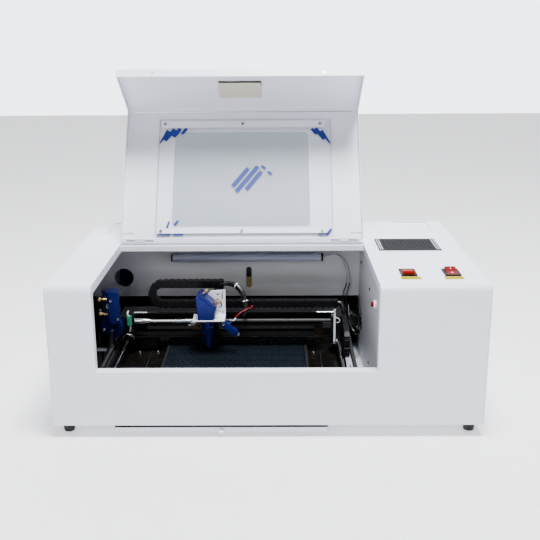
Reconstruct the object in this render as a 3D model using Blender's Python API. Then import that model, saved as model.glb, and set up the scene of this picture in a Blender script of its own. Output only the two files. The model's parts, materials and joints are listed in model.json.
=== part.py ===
"""Desktop laser cutter: sheet-metal cabinet, hinged lid, moving gantry and laser head.

The model is written in the cabinet's own coordinates, in metres: x to the right from
the cabinet's middle, y back from its front face, z up from the underside of its body.
One empty carries all of it to the world frame, whose origin lies on the floor under
the middle of the machine. The lid is modelled shut and swung open by its own empty.
"""
import math

import bmesh
import bpy
from mathutils import Matrix, Vector

for leftover in list(bpy.data.objects):
    bpy.data.objects.remove(leftover, do_unlink=True)

# ---------------------------------------------------------------- driving sizes
CABINET_WIDTH = 0.830
CABINET_DEPTH = 0.533
CABINET_HEIGHT = 0.280
FOOT_HEIGHT = 0.026
SHEET = 0.0015
FOLD_RADIUS = 0.012
GAP = 0.0003

LEFT = -CABINET_WIDTH / 2
RIGHT = CABINET_WIDTH / 2
REAR = CABINET_DEPTH
TOP = CABINET_HEIGHT
UNDER_TOP = CABINET_HEIGHT - SHEET
INNER_LEFT = LEFT + SHEET + GAP
INNER_RIGHT = RIGHT - SHEET - GAP

OPENING_LEFT = LEFT + 0.088
OPENING_RIGHT = RIGHT - 0.207
OPENING_REAR = REAR - 0.213
CHANNEL_REAR = OPENING_REAR + 0.011
CHANNEL_DROP = 0.005
SILL_HEIGHT = 0.110
SILL_DEPTH = 0.022
RETURN_FLANGE = 0.018

LID_HINGE_Y = OPENING_REAR + 0.0078
LID_HINGE_Z = TOP + 0.004
LID_OPEN_DEG = 124.3
LID_FRONT_DROP = TOP - SILL_HEIGHT - 0.0005
LID_SIDE_GAP = 0.0015
LID_REAR_GAP = 0.003
LID_FLANGE = 0.014
LID_BOTTOM_FLANGE = 0.0176
HINGE_SLOT = 0.003
KNUCKLE_RADIUS = 0.0023
KNUCKLE_LENGTH = 0.020
PIN_RADIUS = 0.0011
KNUCKLE_BORE = 0.0015

HATCH_LEFT = LEFT + 0.039
HATCH_RIGHT = RIGHT - 0.036
HATCH_FRONT = REAR - 0.114
HATCH_REAR_STRIP = 0.0065
HATCH_GAP = 0.001
HATCH_FLANGE = 0.009
HATCH_HINGE_Z = TOP - 0.0005
HATCH_HINGE_Y = REAR - HATCH_REAR_STRIP - HINGE_SLOT

PARTITION_Y = REAR - 0.133
PARTITION_BOTTOM = 0.134
BAY_WALL_X = OPENING_RIGHT + 0.0018
BEAM_HEIGHT = 0.1795
BEAM_LINE_X = OPENING_LEFT - 0.011
BEAM_HOLE_RADIUS = 0.022

EXHAUST_LENGTH = 0.034
EXHAUST_RADIUS = 0.052
EXHAUST_WALL = 0.003
EXHAUST_FLANGE = 0.008
EXHAUST_X = OPENING_LEFT + 0.268
EXHAUST_Z = 0.150
FRONT_Y = -(CABINET_DEPTH + EXHAUST_LENGTH) / 2

BED_LEFT = OPENING_LEFT + 0.106
BED_RIGHT = OPENING_RIGHT - 0.126
BED_FRONT = 0.095
BED_REAR = OPENING_REAR - 0.021
BED_TOP = 0.070
BED_THICKNESS = 0.014
BED_LEDGE = 0.009

CHASSIS_LEFT = OPENING_LEFT + 0.001
CHASSIS_RIGHT = OPENING_RIGHT - 0.047
CHASSIS_FRONT = 0.030
CHASSIS_REAR = PARTITION_Y + 0.027
CHASSIS_SHEET = 0.002

ROD_RADIUS = 0.004
ROD_CLEARANCE = 0.0004
SLIDER_HALF = ROD_RADIUS + 0.006
Y_ROD_LEFT_X = CHASSIS_LEFT + 0.022
Y_ROD_RIGHT_X = CHASSIS_RIGHT - 0.013
Y_ROD_Z = 0.090
X_ROD_Y = OPENING_REAR - 0.080
X_ROD_Z = 0.129
PULLEY_RADIUS = 0.006
BELT_WIDTH = 0.006
BELT_THICKNESS = 0.0012
BELT_LEFT_X = (CHASSIS_LEFT - 0.0085, CHASSIS_LEFT - 0.0025)
BELT_RIGHT_X = (CHASSIS_RIGHT + 0.010, CHASSIS_RIGHT + 0.016)
IDLER_Y = CHASSIS_FRONT + 0.015
DRIVE_SHAFT_Y = CHASSIS_REAR - 0.019
DRIVE_SHAFT_Z = Y_ROD_Z - 2 * ROD_RADIUS - 0.001
Y_MOTOR_SIDE = 0.042

BEAM_REAR = X_ROD_Y + 0.060
BEAM_TOP = 0.1415
BEAM_BOTTOM = 0.0905
BEAM_SHEET = 0.0025
BEAM_CHANNEL_DEPTH = 0.038
END_BLOCK_FRONT = X_ROD_Y - 0.009
LEFT_BLOCK_X = (Y_ROD_LEFT_X - 0.0175, Y_ROD_LEFT_X + 0.0135)
RIGHT_BLOCK_X = (Y_ROD_RIGHT_X - 0.0145, Y_ROD_RIGHT_X + 0.008)
X_BELT_Y = X_ROD_Y + 0.036
X_BELT_Z = 0.103
X_MOTOR_X = Y_ROD_LEFT_X + 0.038
X_MOTOR_SIDE = 0.040
X_IDLER_X = Y_ROD_RIGHT_X - 0.028

HEAD_X = OPENING_LEFT + 0.198
HEAD_Y = X_ROD_Y - 0.035
HEAD_PLATE_LEFT = HEAD_X - 0.034
HEAD_PLATE_RIGHT = HEAD_X + 0.035
HEAD_PLATE_TOP = 0.203
HEAD_PLATE_LOW = 0.112
HEAD_FLOOR = 0.146
HEAD_SHEET = 0.0025
CARRIAGE_FRONT = X_ROD_Y - 0.0125
NOZZLE_TIP = 0.080
LENS_NECK_RADIUS = 0.0084
LENS_BODY_RADIUS = 0.0135
POINTER_PIVOT = (HEAD_X + 0.0335, HEAD_Y - 0.005, 0.1360)
POINTER_TILT_DEG = 38.0
KNOB_X = HEAD_X - 0.030
KNOB_Z = 0.1388
MIRROR_BORE_RADIUS = 0.007

CHAIN_HEIGHT = 0.0165
X_CHAIN_LOOP_RADIUS = 0.031
X_CHAIN_Y = (X_ROD_Y + 0.022, X_ROD_Y + 0.040)
X_CHAIN_MIDDLE = 0.181
X_CHAIN_BEND = HEAD_X - 0.102
X_CHAIN_TOP_END = HEAD_X + 0.031
X_CHAIN_LOW_END = Y_ROD_RIGHT_X + 0.002
Y_CHAIN_LOOP_RADIUS = 0.034
Y_CHAIN_X = (RIGHT_BLOCK_X[1] + 0.0005, RIGHT_BLOCK_X[1] + 0.012)
Y_CHAIN_MIDDLE = 0.102
Y_CHAIN_BEND = X_ROD_Y - 0.056
Y_CHAIN_TOP_END = X_ROD_Y + 0.022
Y_CHAIN_LOW_END = X_ROD_Y + 0.020

TUBE_RADIUS = 0.025
TUBE_END_RADIUS = 0.011
TUBE_END_LENGTH = 0.030
TUBE_Y = REAR - 0.068
TUBE_LEFT = BEAM_LINE_X + 0.038
TUBE_RIGHT = RIGHT - 0.030
TUBE_WALL_UNDER = 0.005
CRADLE_X = {"left": TUBE_LEFT + 0.253, "right": TUBE_RIGHT - 0.145}

TRAY_LEFT = OPENING_LEFT + 0.0295
TRAY_RIGHT = OPENING_RIGHT - 0.0935
TRAY_FRONT = 0.0095
TRAY_REAR = OPENING_REAR - 0.010
TRAY_TOP = -0.0075
TRAY_BOTTOM = -0.0195
TRAY_WALL = 0.001
TRAY_KNOB_X = (TRAY_LEFT + TRAY_RIGHT) / 2
RAIL_GAP = 0.0005
RAIL_LIP = 0.006

LAMP_LEFT = OPENING_LEFT + 0.102
LAMP_RIGHT = OPENING_RIGHT - 0.085
LAMP_Y = PARTITION_Y - 0.0115
LAMP_Z = 0.2295
LAMP_RADIUS = 0.0088
LEAD_RADIUS = 0.0016

SWITCH_WIDTH = 0.031
SWITCH_DEPTH = 0.046
SWITCH_Y = 0.0848
SWITCH_TILT_DEG = 10.0
SWITCH_X = {"main": RIGHT - 0.1445, "light": RIGHT - 0.061}
SWITCH_CUT_MARGIN = 0.002
SWITCH_WALL = 0.0045
BUTTON_Y = 0.0745
BUTTON_Z = 0.2205
BUTTON_NECK = 0.0062
BUTTON_RADIUS = 0.0050
ROCKER_PIVOT_Z = TOP + 0.0015

GRILLE = {"x": (RIGHT - 0.180, RIGHT - 0.047), "y": (PARTITION_Y - 0.145, PARTITION_Y - 0.048)}
GRILLE_LIP = 0.005
GRILLE_BORDER = 0.012
GRILLE_SLATS = 9
GRILLE_PROUD = 0.002
INLET = {"x": (RIGHT - 0.115, RIGHT - 0.085), "z": (0.040, 0.062)}
PAN_OPENING = {"x": (TRAY_LEFT + 0.0225, TRAY_RIGHT - 0.0245), "y": (0.035, TRAY_REAR - 0.015)}
SIGHT_SLOT = {"x": EXHAUST_X + 0.012, "z": (0.154, 0.205), "width": 0.013}

LID_HINGE_X = (OPENING_LEFT + 0.042, OPENING_RIGHT - 0.042)
HATCH_HINGE_X = (HATCH_LEFT + 0.126, HATCH_RIGHT - 0.129)
WINDOW_CUT = {"x": (OPENING_LEFT + 0.1105, OPENING_RIGHT - 0.116), "s": (0.032, OPENING_REAR - 0.054)}
WINDOW_SHEET = {"x": (OPENING_LEFT + 0.077, OPENING_RIGHT - 0.067), "s": (0.009, OPENING_REAR - 0.022)}
WINDOW_THICKNESS = 0.003
BAR_X = (OPENING_LEFT + 0.0805, OPENING_RIGHT - 0.0785)
BAR_THICKNESS = 0.0025
BARS = {"window_bar_upper": (OPENING_REAR - 0.0455, OPENING_REAR - 0.0285),
        "window_bar_lower": (0.014, 0.025)}
PAD = {"x": (OPENING_LEFT + 0.217, OPENING_LEFT + 0.312), "drop": (0.058, 0.123), "thick": 0.004}

SIDES = 24


# ---------------------------------------------------------------- materials
def finish_of(name, colour, roughness, metallic=0.0):
    """One Principled material: base colour, roughness and metallic value."""
    material = bpy.data.materials.new(name)
    material.use_nodes = True
    shader = material.node_tree.nodes["Principled BSDF"]
    shader.inputs["Base Color"].default_value = (*colour, 1.0)
    shader.inputs["Roughness"].default_value = roughness
    shader.inputs["Metallic"].default_value = metallic
    material.diffuse_color = (*colour, 1.0)
    return material


WHITE = finish_of("white_powder_coat", (0.86, 0.87, 0.90), 0.4)
LIGHT_GREY = finish_of("light_grey_coat", (0.66, 0.67, 0.70), 0.5)
BLACK_METAL = finish_of("black_coated_steel", (0.02, 0.02, 0.023), 0.45)
BLACK_PLASTIC = finish_of("black_plastic", (0.015, 0.015, 0.017), 0.5)
RUBBER = finish_of("black_rubber", (0.018, 0.018, 0.018), 0.85)
BLUE = finish_of("blue_anodised", (0.03, 0.06, 0.33), 0.35, 0.7)
CHROME = finish_of("chromed_steel", (0.82, 0.82, 0.84), 0.12, 1.0)
STEEL = finish_of("steel", (0.55, 0.56, 0.58), 0.35, 1.0)
RED = finish_of("red_plastic", (0.75, 0.03, 0.02), 0.3)
CREAM = finish_of("cream_plastic", (0.78, 0.72, 0.55), 0.6)
ACRYLIC = finish_of("clear_acrylic", (0.62, 0.68, 0.75), 0.1)
DIFFUSER = finish_of("lamp_diffuser", (0.72, 0.74, 0.80), 0.35)
BED_METAL = finish_of("honeycomb_metal", (0.07, 0.09, 0.11), 0.5, 0.6)
GLASS = finish_of("tube_glass", (0.75, 0.62, 0.45), 0.1)
GREEN_BOARD = finish_of("circuit_board", (0.02, 0.18, 0.06), 0.5)


# ---------------------------------------------------------------- shapes
def mesh_object(bm):
    """A new linked object from a bmesh, with its faces pointing out."""
    bmesh.ops.recalc_face_normals(bm, faces=bm.faces)
    mesh = bpy.data.meshes.new("shape")
    bm.to_mesh(mesh)
    bm.free()
    piece = bpy.data.objects.new("shape", mesh)
    bpy.context.scene.collection.objects.link(piece)
    return piece


def block(x_span, y_span, z_span):
    """A box between two coordinates on each axis."""
    bm = bmesh.new()
    bmesh.ops.create_cube(bm, size=1.0)
    spans = (x_span, y_span, z_span)
    for vert in bm.verts:
        for axis, span in enumerate(spans):
            vert.co[axis] = (span[0] + span[1]) / 2 + vert.co[axis] * (span[1] - span[0])
    return mesh_object(bm)


def prism(outline, axis, span):
    """An outline in the plane across an axis, extruded along it over a span."""
    bm = bmesh.new()
    verts = []
    for first, second in outline:
        point = {"x": (span[0], first, second),
                 "y": (first, span[0], second),
                 "z": (first, second, span[0])}[axis]
        verts.append(bm.verts.new(point))
    face = bm.faces.new(verts)
    made = bmesh.ops.extrude_face_region(bm, geom=[face])
    moved = [item for item in made["geom"] if isinstance(item, bmesh.types.BMVert)]
    shift = Vector((0.0, 0.0, 0.0))
    shift["xyz".index(axis)] = span[1] - span[0]
    bmesh.ops.translate(bm, verts=moved, vec=shift)
    return mesh_object(bm)


def turned(profile, centre, axis, sides=SIDES):
    """A profile of (radius, height) points turned about an axis through centre."""
    bm = bmesh.new()
    rings = []
    for radius, height in profile:
        if radius == 0.0:
            rings.append([bm.verts.new((0.0, 0.0, height))])
            continue
        ring = []
        for step in range(sides):
            angle = 2 * math.pi * step / sides
            ring.append(bm.verts.new((radius * math.cos(angle), radius * math.sin(angle), height)))
        rings.append(ring)
    for lower, upper in zip(rings, rings[1:] + rings[:1]):
        if len(lower) == 1 and len(upper) == 1:
            continue
        for step in range(sides):
            corners = [lower[step % len(lower)], lower[(step + 1) % len(lower)],
                       upper[(step + 1) % len(upper)], upper[step % len(upper)]]
            distinct = list(dict.fromkeys(corners))
            bm.faces.new(distinct)
    turn = {"x": Matrix.Rotation(math.pi / 2, 4, "Y"),
            "y": Matrix.Rotation(-math.pi / 2, 4, "X"),
            "z": Matrix.Identity(4)}[axis]
    bmesh.ops.transform(bm, matrix=Matrix.Translation(centre) @ turn, verts=bm.verts)
    piece = mesh_object(bm)
    piece.data.shade_smooth()
    piece.data.set_sharp_from_angle(angle=math.radians(35))
    return piece


def cylinder(radius, centre, axis, span, sides=SIDES):
    """A plain round bar; span is along its axis, from the centre point's plane."""
    profile = [(0.0, span[0]), (radius, span[0]), (radius, span[1]), (0.0, span[1])]
    return turned(profile, centre, axis, sides)


def combine(target, operation, *tools):
    """Join or cut a piece with others by exact Booleans, then drop the others."""
    for tool in tools:
        modifier = target.modifiers.new(operation.lower(), "BOOLEAN")
        modifier.operation = operation
        modifier.solver = "EXACT"
        modifier.object = tool
    bpy.context.view_layer.update()
    graph = bpy.context.evaluated_depsgraph_get()
    target.data = bpy.data.meshes.new_from_object(target.evaluated_get(graph))
    target.modifiers.clear()
    for tool in tools:
        bpy.data.objects.remove(tool, do_unlink=True)
    return target


def cut(target, *tools):
    """The target with the tools taken away."""
    return combine(target, "DIFFERENCE", *tools)


def join(target, *tools):
    """The target with the tools added, as one body."""
    return combine(target, "UNION", *tools)


def arc(centre, radius, start_deg, end_deg, steps=6):
    """Points on a circle in the outline's plane, from one angle to the other."""
    points = []
    for step in range(steps + 1):
        angle = math.radians(start_deg + (end_deg - start_deg) * step / steps)
        points.append((centre[0] + radius * math.cos(angle), centre[1] + radius * math.sin(angle)))
    return points


def rounded_rectangle(left, right, low, high, radius):
    """An outline with four round corners, run anticlockwise."""
    return (arc((right - radius, low + radius), radius, -90, 0, 4)
            + arc((right - radius, high - radius), radius, 0, 90, 4)
            + arc((left + radius, high - radius), radius, 90, 180, 4)
            + arc((left + radius, low + radius), radius, 180, 270, 4))


def folded_outline(depth, low, rear, front=0.0):
    """The y-z outline of a sheet that rises at the front and folds back along the top.

    The outside corner is an arc of the fold radius; depth is how far the outline
    reaches inwards from the outer faces.
    """
    corner = (front + FOLD_RADIUS, TOP - FOLD_RADIUS)
    outer = [(front, low)] + arc(corner, FOLD_RADIUS, 180, 90) + [(rear, TOP)]
    if depth < FOLD_RADIUS:
        inner = [(rear, TOP - depth)]
        inner += arc(corner, FOLD_RADIUS - depth, 90, 180)
        inner += [(front + depth, low)]
    else:
        inner = [(rear, TOP - depth), (front + depth, TOP - depth),
                 (front + depth, low)]
    return outer + inner


def loop_belt(axis, span, centre_a, centre_b, inner_radius, thickness):
    """A belt round two pulleys whose centres lie along the outline's first direction."""
    def stadium(radius):
        return arc(centre_a, radius, 90, 270, 8) + arc(centre_b, radius, -90, 90, 8)
    outer = prism(stadium(inner_radius + thickness), axis, span)
    margin = span[1] - span[0]
    inner = prism(stadium(inner_radius), axis, (span[0] - margin, span[1] + margin))
    return cut(outer, inner)


def knuckles(centre_y, centre_z, spans, radius):
    """Round hinge knuckles about one axis, one for each x span."""
    made = []
    for span in spans:
        made.append(cylinder(radius, (0.0, centre_y, centre_z), "x", span, 12))
    return made


def pinned_knuckles(centre_y, centre_z, ends, fixed_spans):
    """One turned pin between two x ends, thick as a knuckle over each fixed span."""
    profile = [(0.0, ends[0]), (PIN_RADIUS, ends[0])]
    for span in fixed_spans:
        profile += [(PIN_RADIUS, span[0]), (KNUCKLE_RADIUS, span[0]), (KNUCKLE_RADIUS, span[1]),
                    (PIN_RADIUS, span[1])]
    profile += [(PIN_RADIUS, ends[1]), (0.0, ends[1])]
    return turned(profile, (0.0, centre_y, centre_z), "x", 12)


# ---------------------------------------------------------------- placing
def carrier(name, pivot, parent=None, turn_deg=0.0):
    """An empty on a joint's axis, turned about x where the piece rests turned."""
    empty = bpy.data.objects.new(name, None)
    bpy.context.scene.collection.objects.link(empty)
    empty["pivot"] = pivot
    if parent is None:
        empty.location = pivot
    else:
        empty.parent = parent
        empty.location = Vector(pivot) - Vector(parent["pivot"])
    empty.rotation_euler.x = math.radians(turn_deg)
    return empty


def place(piece, name, material, parent):
    """Name a finished shape, give it its material and hang it on its carrier."""
    piece.name = name
    piece.data.name = name
    piece.data.materials.clear()
    piece.data.materials.append(material)
    for face in piece.data.polygons:
        face.material_index = 0
    piece.data.transform(Matrix.Translation(-Vector(parent["pivot"])))
    piece.parent = parent
    return piece


cabinet = carrier("cabinet_frame", (0.0, 0.0, 0.0))
cabinet.location = (0.0, FRONT_Y, FOOT_HEIGHT)
lid_frame = carrier("lid_frame", (0.0, LID_HINGE_Y, LID_HINGE_Z), cabinet, -LID_OPEN_DEG)
hatch_frame = carrier("hatch_frame", (0.0, HATCH_HINGE_Y, HATCH_HINGE_Z), cabinet)
tray_frame = carrier("tray_frame", (0.0, TRAY_FRONT, TRAY_TOP), cabinet)
gantry_frame = carrier("gantry_frame", (0.0, X_ROD_Y, X_ROD_Z), cabinet)
carriage_frame = carrier("carriage_frame", (HEAD_X, X_ROD_Y, X_ROD_Z), gantry_frame)


# ---------------------------------------------------------------- cabinet sheets
def make_front_top_shell():
    """One sheet for the front and the top, cut for lid, hatch, grille and switches."""
    shell = prism(folded_outline(SHEET, 0.0, REAR), "x", (INNER_LEFT, INNER_RIGHT))
    channel_back = CHANNEL_REAR + SHEET
    floor = TOP - CHANNEL_DROP
    side_outline = folded_outline(RETURN_FLANGE, SILL_HEIGHT - SHEET, channel_back + GAP)
    left = prism(side_outline, "x", (OPENING_LEFT - SHEET, OPENING_LEFT))
    right = prism(side_outline, "x", (OPENING_RIGHT, OPENING_RIGHT + SHEET))
    across = (OPENING_LEFT - SHEET / 2, OPENING_RIGHT + SHEET / 2)
    sill = block(across, (SHEET / 2, SILL_DEPTH), (SILL_HEIGHT - SHEET, SILL_HEIGHT))
    wall = CHANNEL_REAR + GAP
    flange_low = TOP - RETURN_FLANGE + SHEET
    channel = [(channel_back, TOP - SHEET / 2), (wall, TOP - SHEET / 2), (wall, floor), (OPENING_REAR, floor),
               (OPENING_REAR, flange_low), (OPENING_REAR + SHEET, flange_low),
               (OPENING_REAR + SHEET, floor - SHEET), (channel_back, floor - SHEET)]
    mouth_outline = [(-SHEET, SILL_HEIGHT), (OPENING_REAR - GAP, SILL_HEIGHT), (OPENING_REAR - GAP, floor + GAP),
                     (CHANNEL_REAR, floor + GAP), (CHANNEL_REAR, TOP + SHEET), (-SHEET, TOP + SHEET)]
    mouth = prism(mouth_outline, "x", (OPENING_LEFT, OPENING_RIGHT))
    above = TOP + SHEET
    below = UNDER_TOP - SHEET
    hatch = block((HATCH_LEFT, HATCH_RIGHT), (HATCH_FRONT, HATCH_HINGE_Y + HINGE_SLOT), (below, above))
    grille = block((GRILLE["x"][0] + GRILLE_LIP, GRILLE["x"][1] - GRILLE_LIP),
                   (GRILLE["y"][0] + GRILLE_LIP, GRILLE["y"][1] - GRILLE_LIP), (below, above))
    join(shell, left, right, sill)
    cut(shell, mouth, hatch, grille)
    join(shell, prism(channel, "x", across))
    for centre in SWITCH_X.values():
        half_x = SWITCH_WIDTH / 2 - SWITCH_CUT_MARGIN
        half_y = SWITCH_DEPTH / 2 - SWITCH_CUT_MARGIN
        cut(shell, block((centre - half_x, centre + half_x), (SWITCH_Y - half_y, SWITCH_Y + half_y),
                         (below, above)))
    place(shell, "front_top_shell", WHITE, cabinet)


LOUVRE = {"first": 0.060, "pitch": 0.016, "height": 0.006, "length": 0.100}


def make_side_panel(name, x_span, louvres):
    """A flat side whose front top corner follows the shell's fold."""
    corner = (FOLD_RADIUS, TOP - FOLD_RADIUS)
    outline = [(REAR, 0.0), (REAR, TOP)]
    outline += arc(corner, FOLD_RADIUS, 90, 180) + [(0.0, 0.0)]
    panel = prism(outline, "x", x_span)
    for row in range(louvres):
        low = LOUVRE["first"] + row * LOUVRE["pitch"]
        cut(panel, block((x_span[0] - SHEET, x_span[1] + SHEET), (PARTITION_Y - LOUVRE["length"], PARTITION_Y),
                         (low, low + LOUVRE["height"])))
    place(panel, name, WHITE, cabinet)


def make_rear_panel():
    """The back sheet, with the exhaust hole and the mains inlet's cut-out."""
    rear_low = REAR - SHEET
    panel = block((INNER_LEFT, INNER_RIGHT), (rear_low, REAR), (0.0, UNDER_TOP - GAP))
    through = (rear_low - SHEET, REAR + SHEET)
    exhaust = cylinder(EXHAUST_RADIUS - EXHAUST_WALL, (EXHAUST_X, 0.0, EXHAUST_Z), "y", through, 32)
    inlet = block((INLET["x"][0] - GAP, INLET["x"][1] + GAP), through,
                  (INLET["z"][0] - GAP, INLET["z"][1] + GAP))
    cut(panel, exhaust, inlet)
    place(panel, "rear_panel", WHITE, cabinet)
    body = block(INLET["x"], (rear_low - 0.018, REAR), INLET["z"])
    flange = block((INLET["x"][0] - 0.004, INLET["x"][1] + 0.004), (REAR + GAP, REAR + 0.002),
                   (INLET["z"][0] - 0.004, INLET["z"][1] + 0.004))
    plug = block(INLET["x"], (REAR - SHEET, REAR + 0.001), INLET["z"])
    join(body, plug, flange)
    cut(body, block((INLET["x"][0] + 0.003, INLET["x"][1] - 0.003), (rear_low - 0.012, REAR + 0.010),
                    (INLET["z"][0] + 0.003, INLET["z"][1] - 0.003)))
    place(body, "power_inlet", BLACK_PLASTIC, cabinet)


def make_bottom_pan():
    """The floor sheet, open under the bed, with two rails that carry the tray."""
    pan = block((INNER_LEFT, INNER_RIGHT), (SHEET + GAP, REAR - SHEET - GAP), (0.0, SHEET))
    cut(pan, block(PAN_OPENING["x"], PAN_OPENING["y"], (-SHEET, 2 * SHEET)))
    rail_y = (TRAY_FRONT + 0.004, TRAY_REAR + 0.002)
    low = TRAY_BOTTOM - RAIL_GAP - SHEET
    for side, edge in ((-1, TRAY_LEFT), (1, TRAY_RIGHT)):
        near = edge + side * RAIL_GAP
        far = near + side * SHEET
        web = block(sorted((near, far)), rail_y, (low, SHEET))
        lip = block(sorted((far, near - side * RAIL_LIP)), rail_y, (low, low + SHEET))
        join(pan, web, lip)
    place(pan, "bottom_pan", LIGHT_GREY, cabinet)


def make_partitions():
    """The wall before the tube bay and the wall of the electronics bay."""
    wall = block((INNER_LEFT, BAY_WALL_X - GAP), (PARTITION_Y, PARTITION_Y + SHEET),
                 (PARTITION_BOTTOM, UNDER_TOP - GAP))
    through = (PARTITION_Y - SHEET, PARTITION_Y + 2 * SHEET)
    hole = cylinder(BEAM_HOLE_RADIUS, (BEAM_LINE_X, 0.0, BEAM_HEIGHT), "y", through)
    half = SIGHT_SLOT["width"] / 2
    slot_outline = arc((SIGHT_SLOT["x"], SIGHT_SLOT["z"][1] - half), half, 0, 180)
    slot_outline += arc((SIGHT_SLOT["x"], SIGHT_SLOT["z"][0] + half), half, 180, 360)
    cut(wall, hole, prism(slot_outline, "y", through))
    place(wall, "rear_partition", LIGHT_GREY, cabinet)
    inside = SHEET + GAP
    outline = [(inside, inside), (PARTITION_Y + SHEET, inside), (PARTITION_Y + SHEET, UNDER_TOP - GAP),
               (inside + FOLD_RADIUS, UNDER_TOP - GAP), (inside, UNDER_TOP - GAP - FOLD_RADIUS)]
    side = prism(outline, "x", (BAY_WALL_X, BAY_WALL_X + SHEET))
    across = (BAY_WALL_X - SHEET, BAY_WALL_X + 2 * SHEET)
    button_hole = cylinder(BUTTON_NECK + GAP, (0.0, BUTTON_Y, BUTTON_Z), "x", across)
    slit = block(across, (0.1265, 0.1295), (0.103, 0.116))
    cable_way = block(across, (PARTITION_Y - 0.060, PARTITION_Y - 0.015), (0.060, 0.112))
    cut(side, button_hole, slit, cable_way)
    place(side, "right_partition", LIGHT_GREY, cabinet)


def make_vent_grille():
    """A black frame let into the top, with slanted slots for the electronics bay."""
    top = TOP + GRILLE_PROUD
    plate = block(GRILLE["x"], GRILLE["y"], (TOP + GAP, top))
    drop = GRILLE_LIP + GAP
    skirt = block((GRILLE["x"][0] + drop, GRILLE["x"][1] - drop),
                  (GRILLE["y"][0] + drop, GRILLE["y"][1] - drop), (UNDER_TOP - 0.002, top - GAP))
    join(plate, skirt)
    inner = (GRILLE["x"][0] + GRILLE_BORDER, GRILLE["x"][1] - GRILLE_BORDER)
    first = GRILLE["y"][0] + GRILLE_BORDER
    pitch = (GRILLE["y"][1] - GRILLE["y"][0] - 2 * GRILLE_BORDER) / GRILLE_SLATS
    for row in range(GRILLE_SLATS):
        low = first + row * pitch
        outline = [(low, TOP - 0.010), (low + 0.0045, TOP - 0.010),
                   (low + 0.0085, TOP + 0.010), (low + 0.004, TOP + 0.010)]
        cut(plate, prism(outline, "x", inner))
    place(plate, "vent_grille", BLACK_PLASTIC, cabinet)


def make_feet():
    """Four rubber feet under the corners."""
    profile = [(0.0, -FOOT_HEIGHT), (0.0095, -FOOT_HEIGHT), (0.0105, -FOOT_HEIGHT + 0.001),
               (0.0125, -0.003), (0.0125, -GAP), (0.0, -GAP)]
    inset = 0.021
    for side, x in (("left", LEFT + inset), ("right", RIGHT - inset)):
        for end, y in (("front", 0.035), ("rear", REAR - 0.035)):
            foot = turned(profile, (x, y, 0.0), "z")
            place(foot, f"foot_{end}_{side}", RUBBER, cabinet)


# ---------------------------------------------------------------- lid, hatch and tray
LEAF_LENGTH = 0.014
LEAF_SHEET = 0.0016


def hinge_spans(centre):
    """The x spans of one hinge: fixed knuckle in the middle, a moving one each side."""
    half = KNUCKLE_LENGTH / 2
    fixed = (centre - half, centre + half)
    moving = ((centre - 3 * half, centre - half - GAP), (centre + half + GAP, centre + 3 * half))
    return fixed, moving


def leaf_span(fixed):
    """The x span of a hinge leaf, just inside the ends of its knuckle."""
    return fixed[0] + GAP, fixed[1] - GAP


def from_hinge(span):
    """A span of distances from the lid's hinge, as a y span of the shut lid."""
    return LID_HINGE_Y - span[1], LID_HINGE_Y - span[0]


def make_lid():
    """The folded lid with its window, clamp bars and pad, modelled shut."""
    left = OPENING_LEFT + LID_SIDE_GAP
    right = OPENING_RIGHT - LID_SIDE_GAP
    low = TOP - LID_FRONT_DROP
    lid = prism(folded_outline(SHEET, low, LID_HINGE_Y - LID_REAR_GAP, GAP), "x", (left, right))
    flange = folded_outline(LID_FLANGE, low, OPENING_REAR - 2 * GAP, GAP)
    join(lid, prism(flange, "x", (left, left + SHEET)), prism(flange, "x", (right - SHEET, right)),
         block((left, right), (GAP, LID_BOTTOM_FLANGE), (low, low + SHEET)))
    outline = rounded_rectangle(*WINDOW_CUT["x"], *from_hinge(WINDOW_CUT["s"]), 0.010)
    cut(lid, prism(outline, "z", (UNDER_TOP - SHEET, TOP + SHEET)))
    neck_y = (LID_HINGE_Y - KNUCKLE_RADIUS - 0.0007, LID_HINGE_Y - KNUCKLE_BORE - GAP)
    for centre in LID_HINGE_X:
        for span in hinge_spans(centre)[1]:
            inset = leaf_span(span)
            leaf = block(inset, (LID_HINGE_Y - LEAF_LENGTH, neck_y[1]), (UNDER_TOP + GAP, TOP + LEAF_SHEET))
            neck = block(inset, neck_y, (TOP, LID_HINGE_Z))
            join(lid, *knuckles(LID_HINGE_Y, LID_HINGE_Z, (span,), KNUCKLE_RADIUS))
            join(leaf, neck)
            join(lid, leaf)
            bore = (span[0] - SHEET, span[1] + SHEET)
            cut(lid, *knuckles(LID_HINGE_Y, LID_HINGE_Z, (bore,), KNUCKLE_BORE))
    place(lid, "lid_shell", WHITE, lid_frame)
    top = UNDER_TOP - GAP
    pane = block(WINDOW_SHEET["x"], from_hinge(WINDOW_SHEET["s"]), (top - WINDOW_THICKNESS, top))
    place(pane, "lid_window", ACRYLIC, lid_frame)
    bar_top = top - WINDOW_THICKNESS - GAP
    for name, s_span in BARS.items():
        bar = block(BAR_X, from_hinge(s_span), (bar_top - BAR_THICKNESS, bar_top))
        place(bar, name, WHITE, lid_frame)
    pad_y = 2 * GAP + SHEET
    pad = block(PAD["x"], (pad_y, pad_y + PAD["thick"]), (TOP - PAD["drop"][1], TOP - PAD["drop"][0]))
    place(pad, "lid_pad", CREAM, lid_frame)


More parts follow.
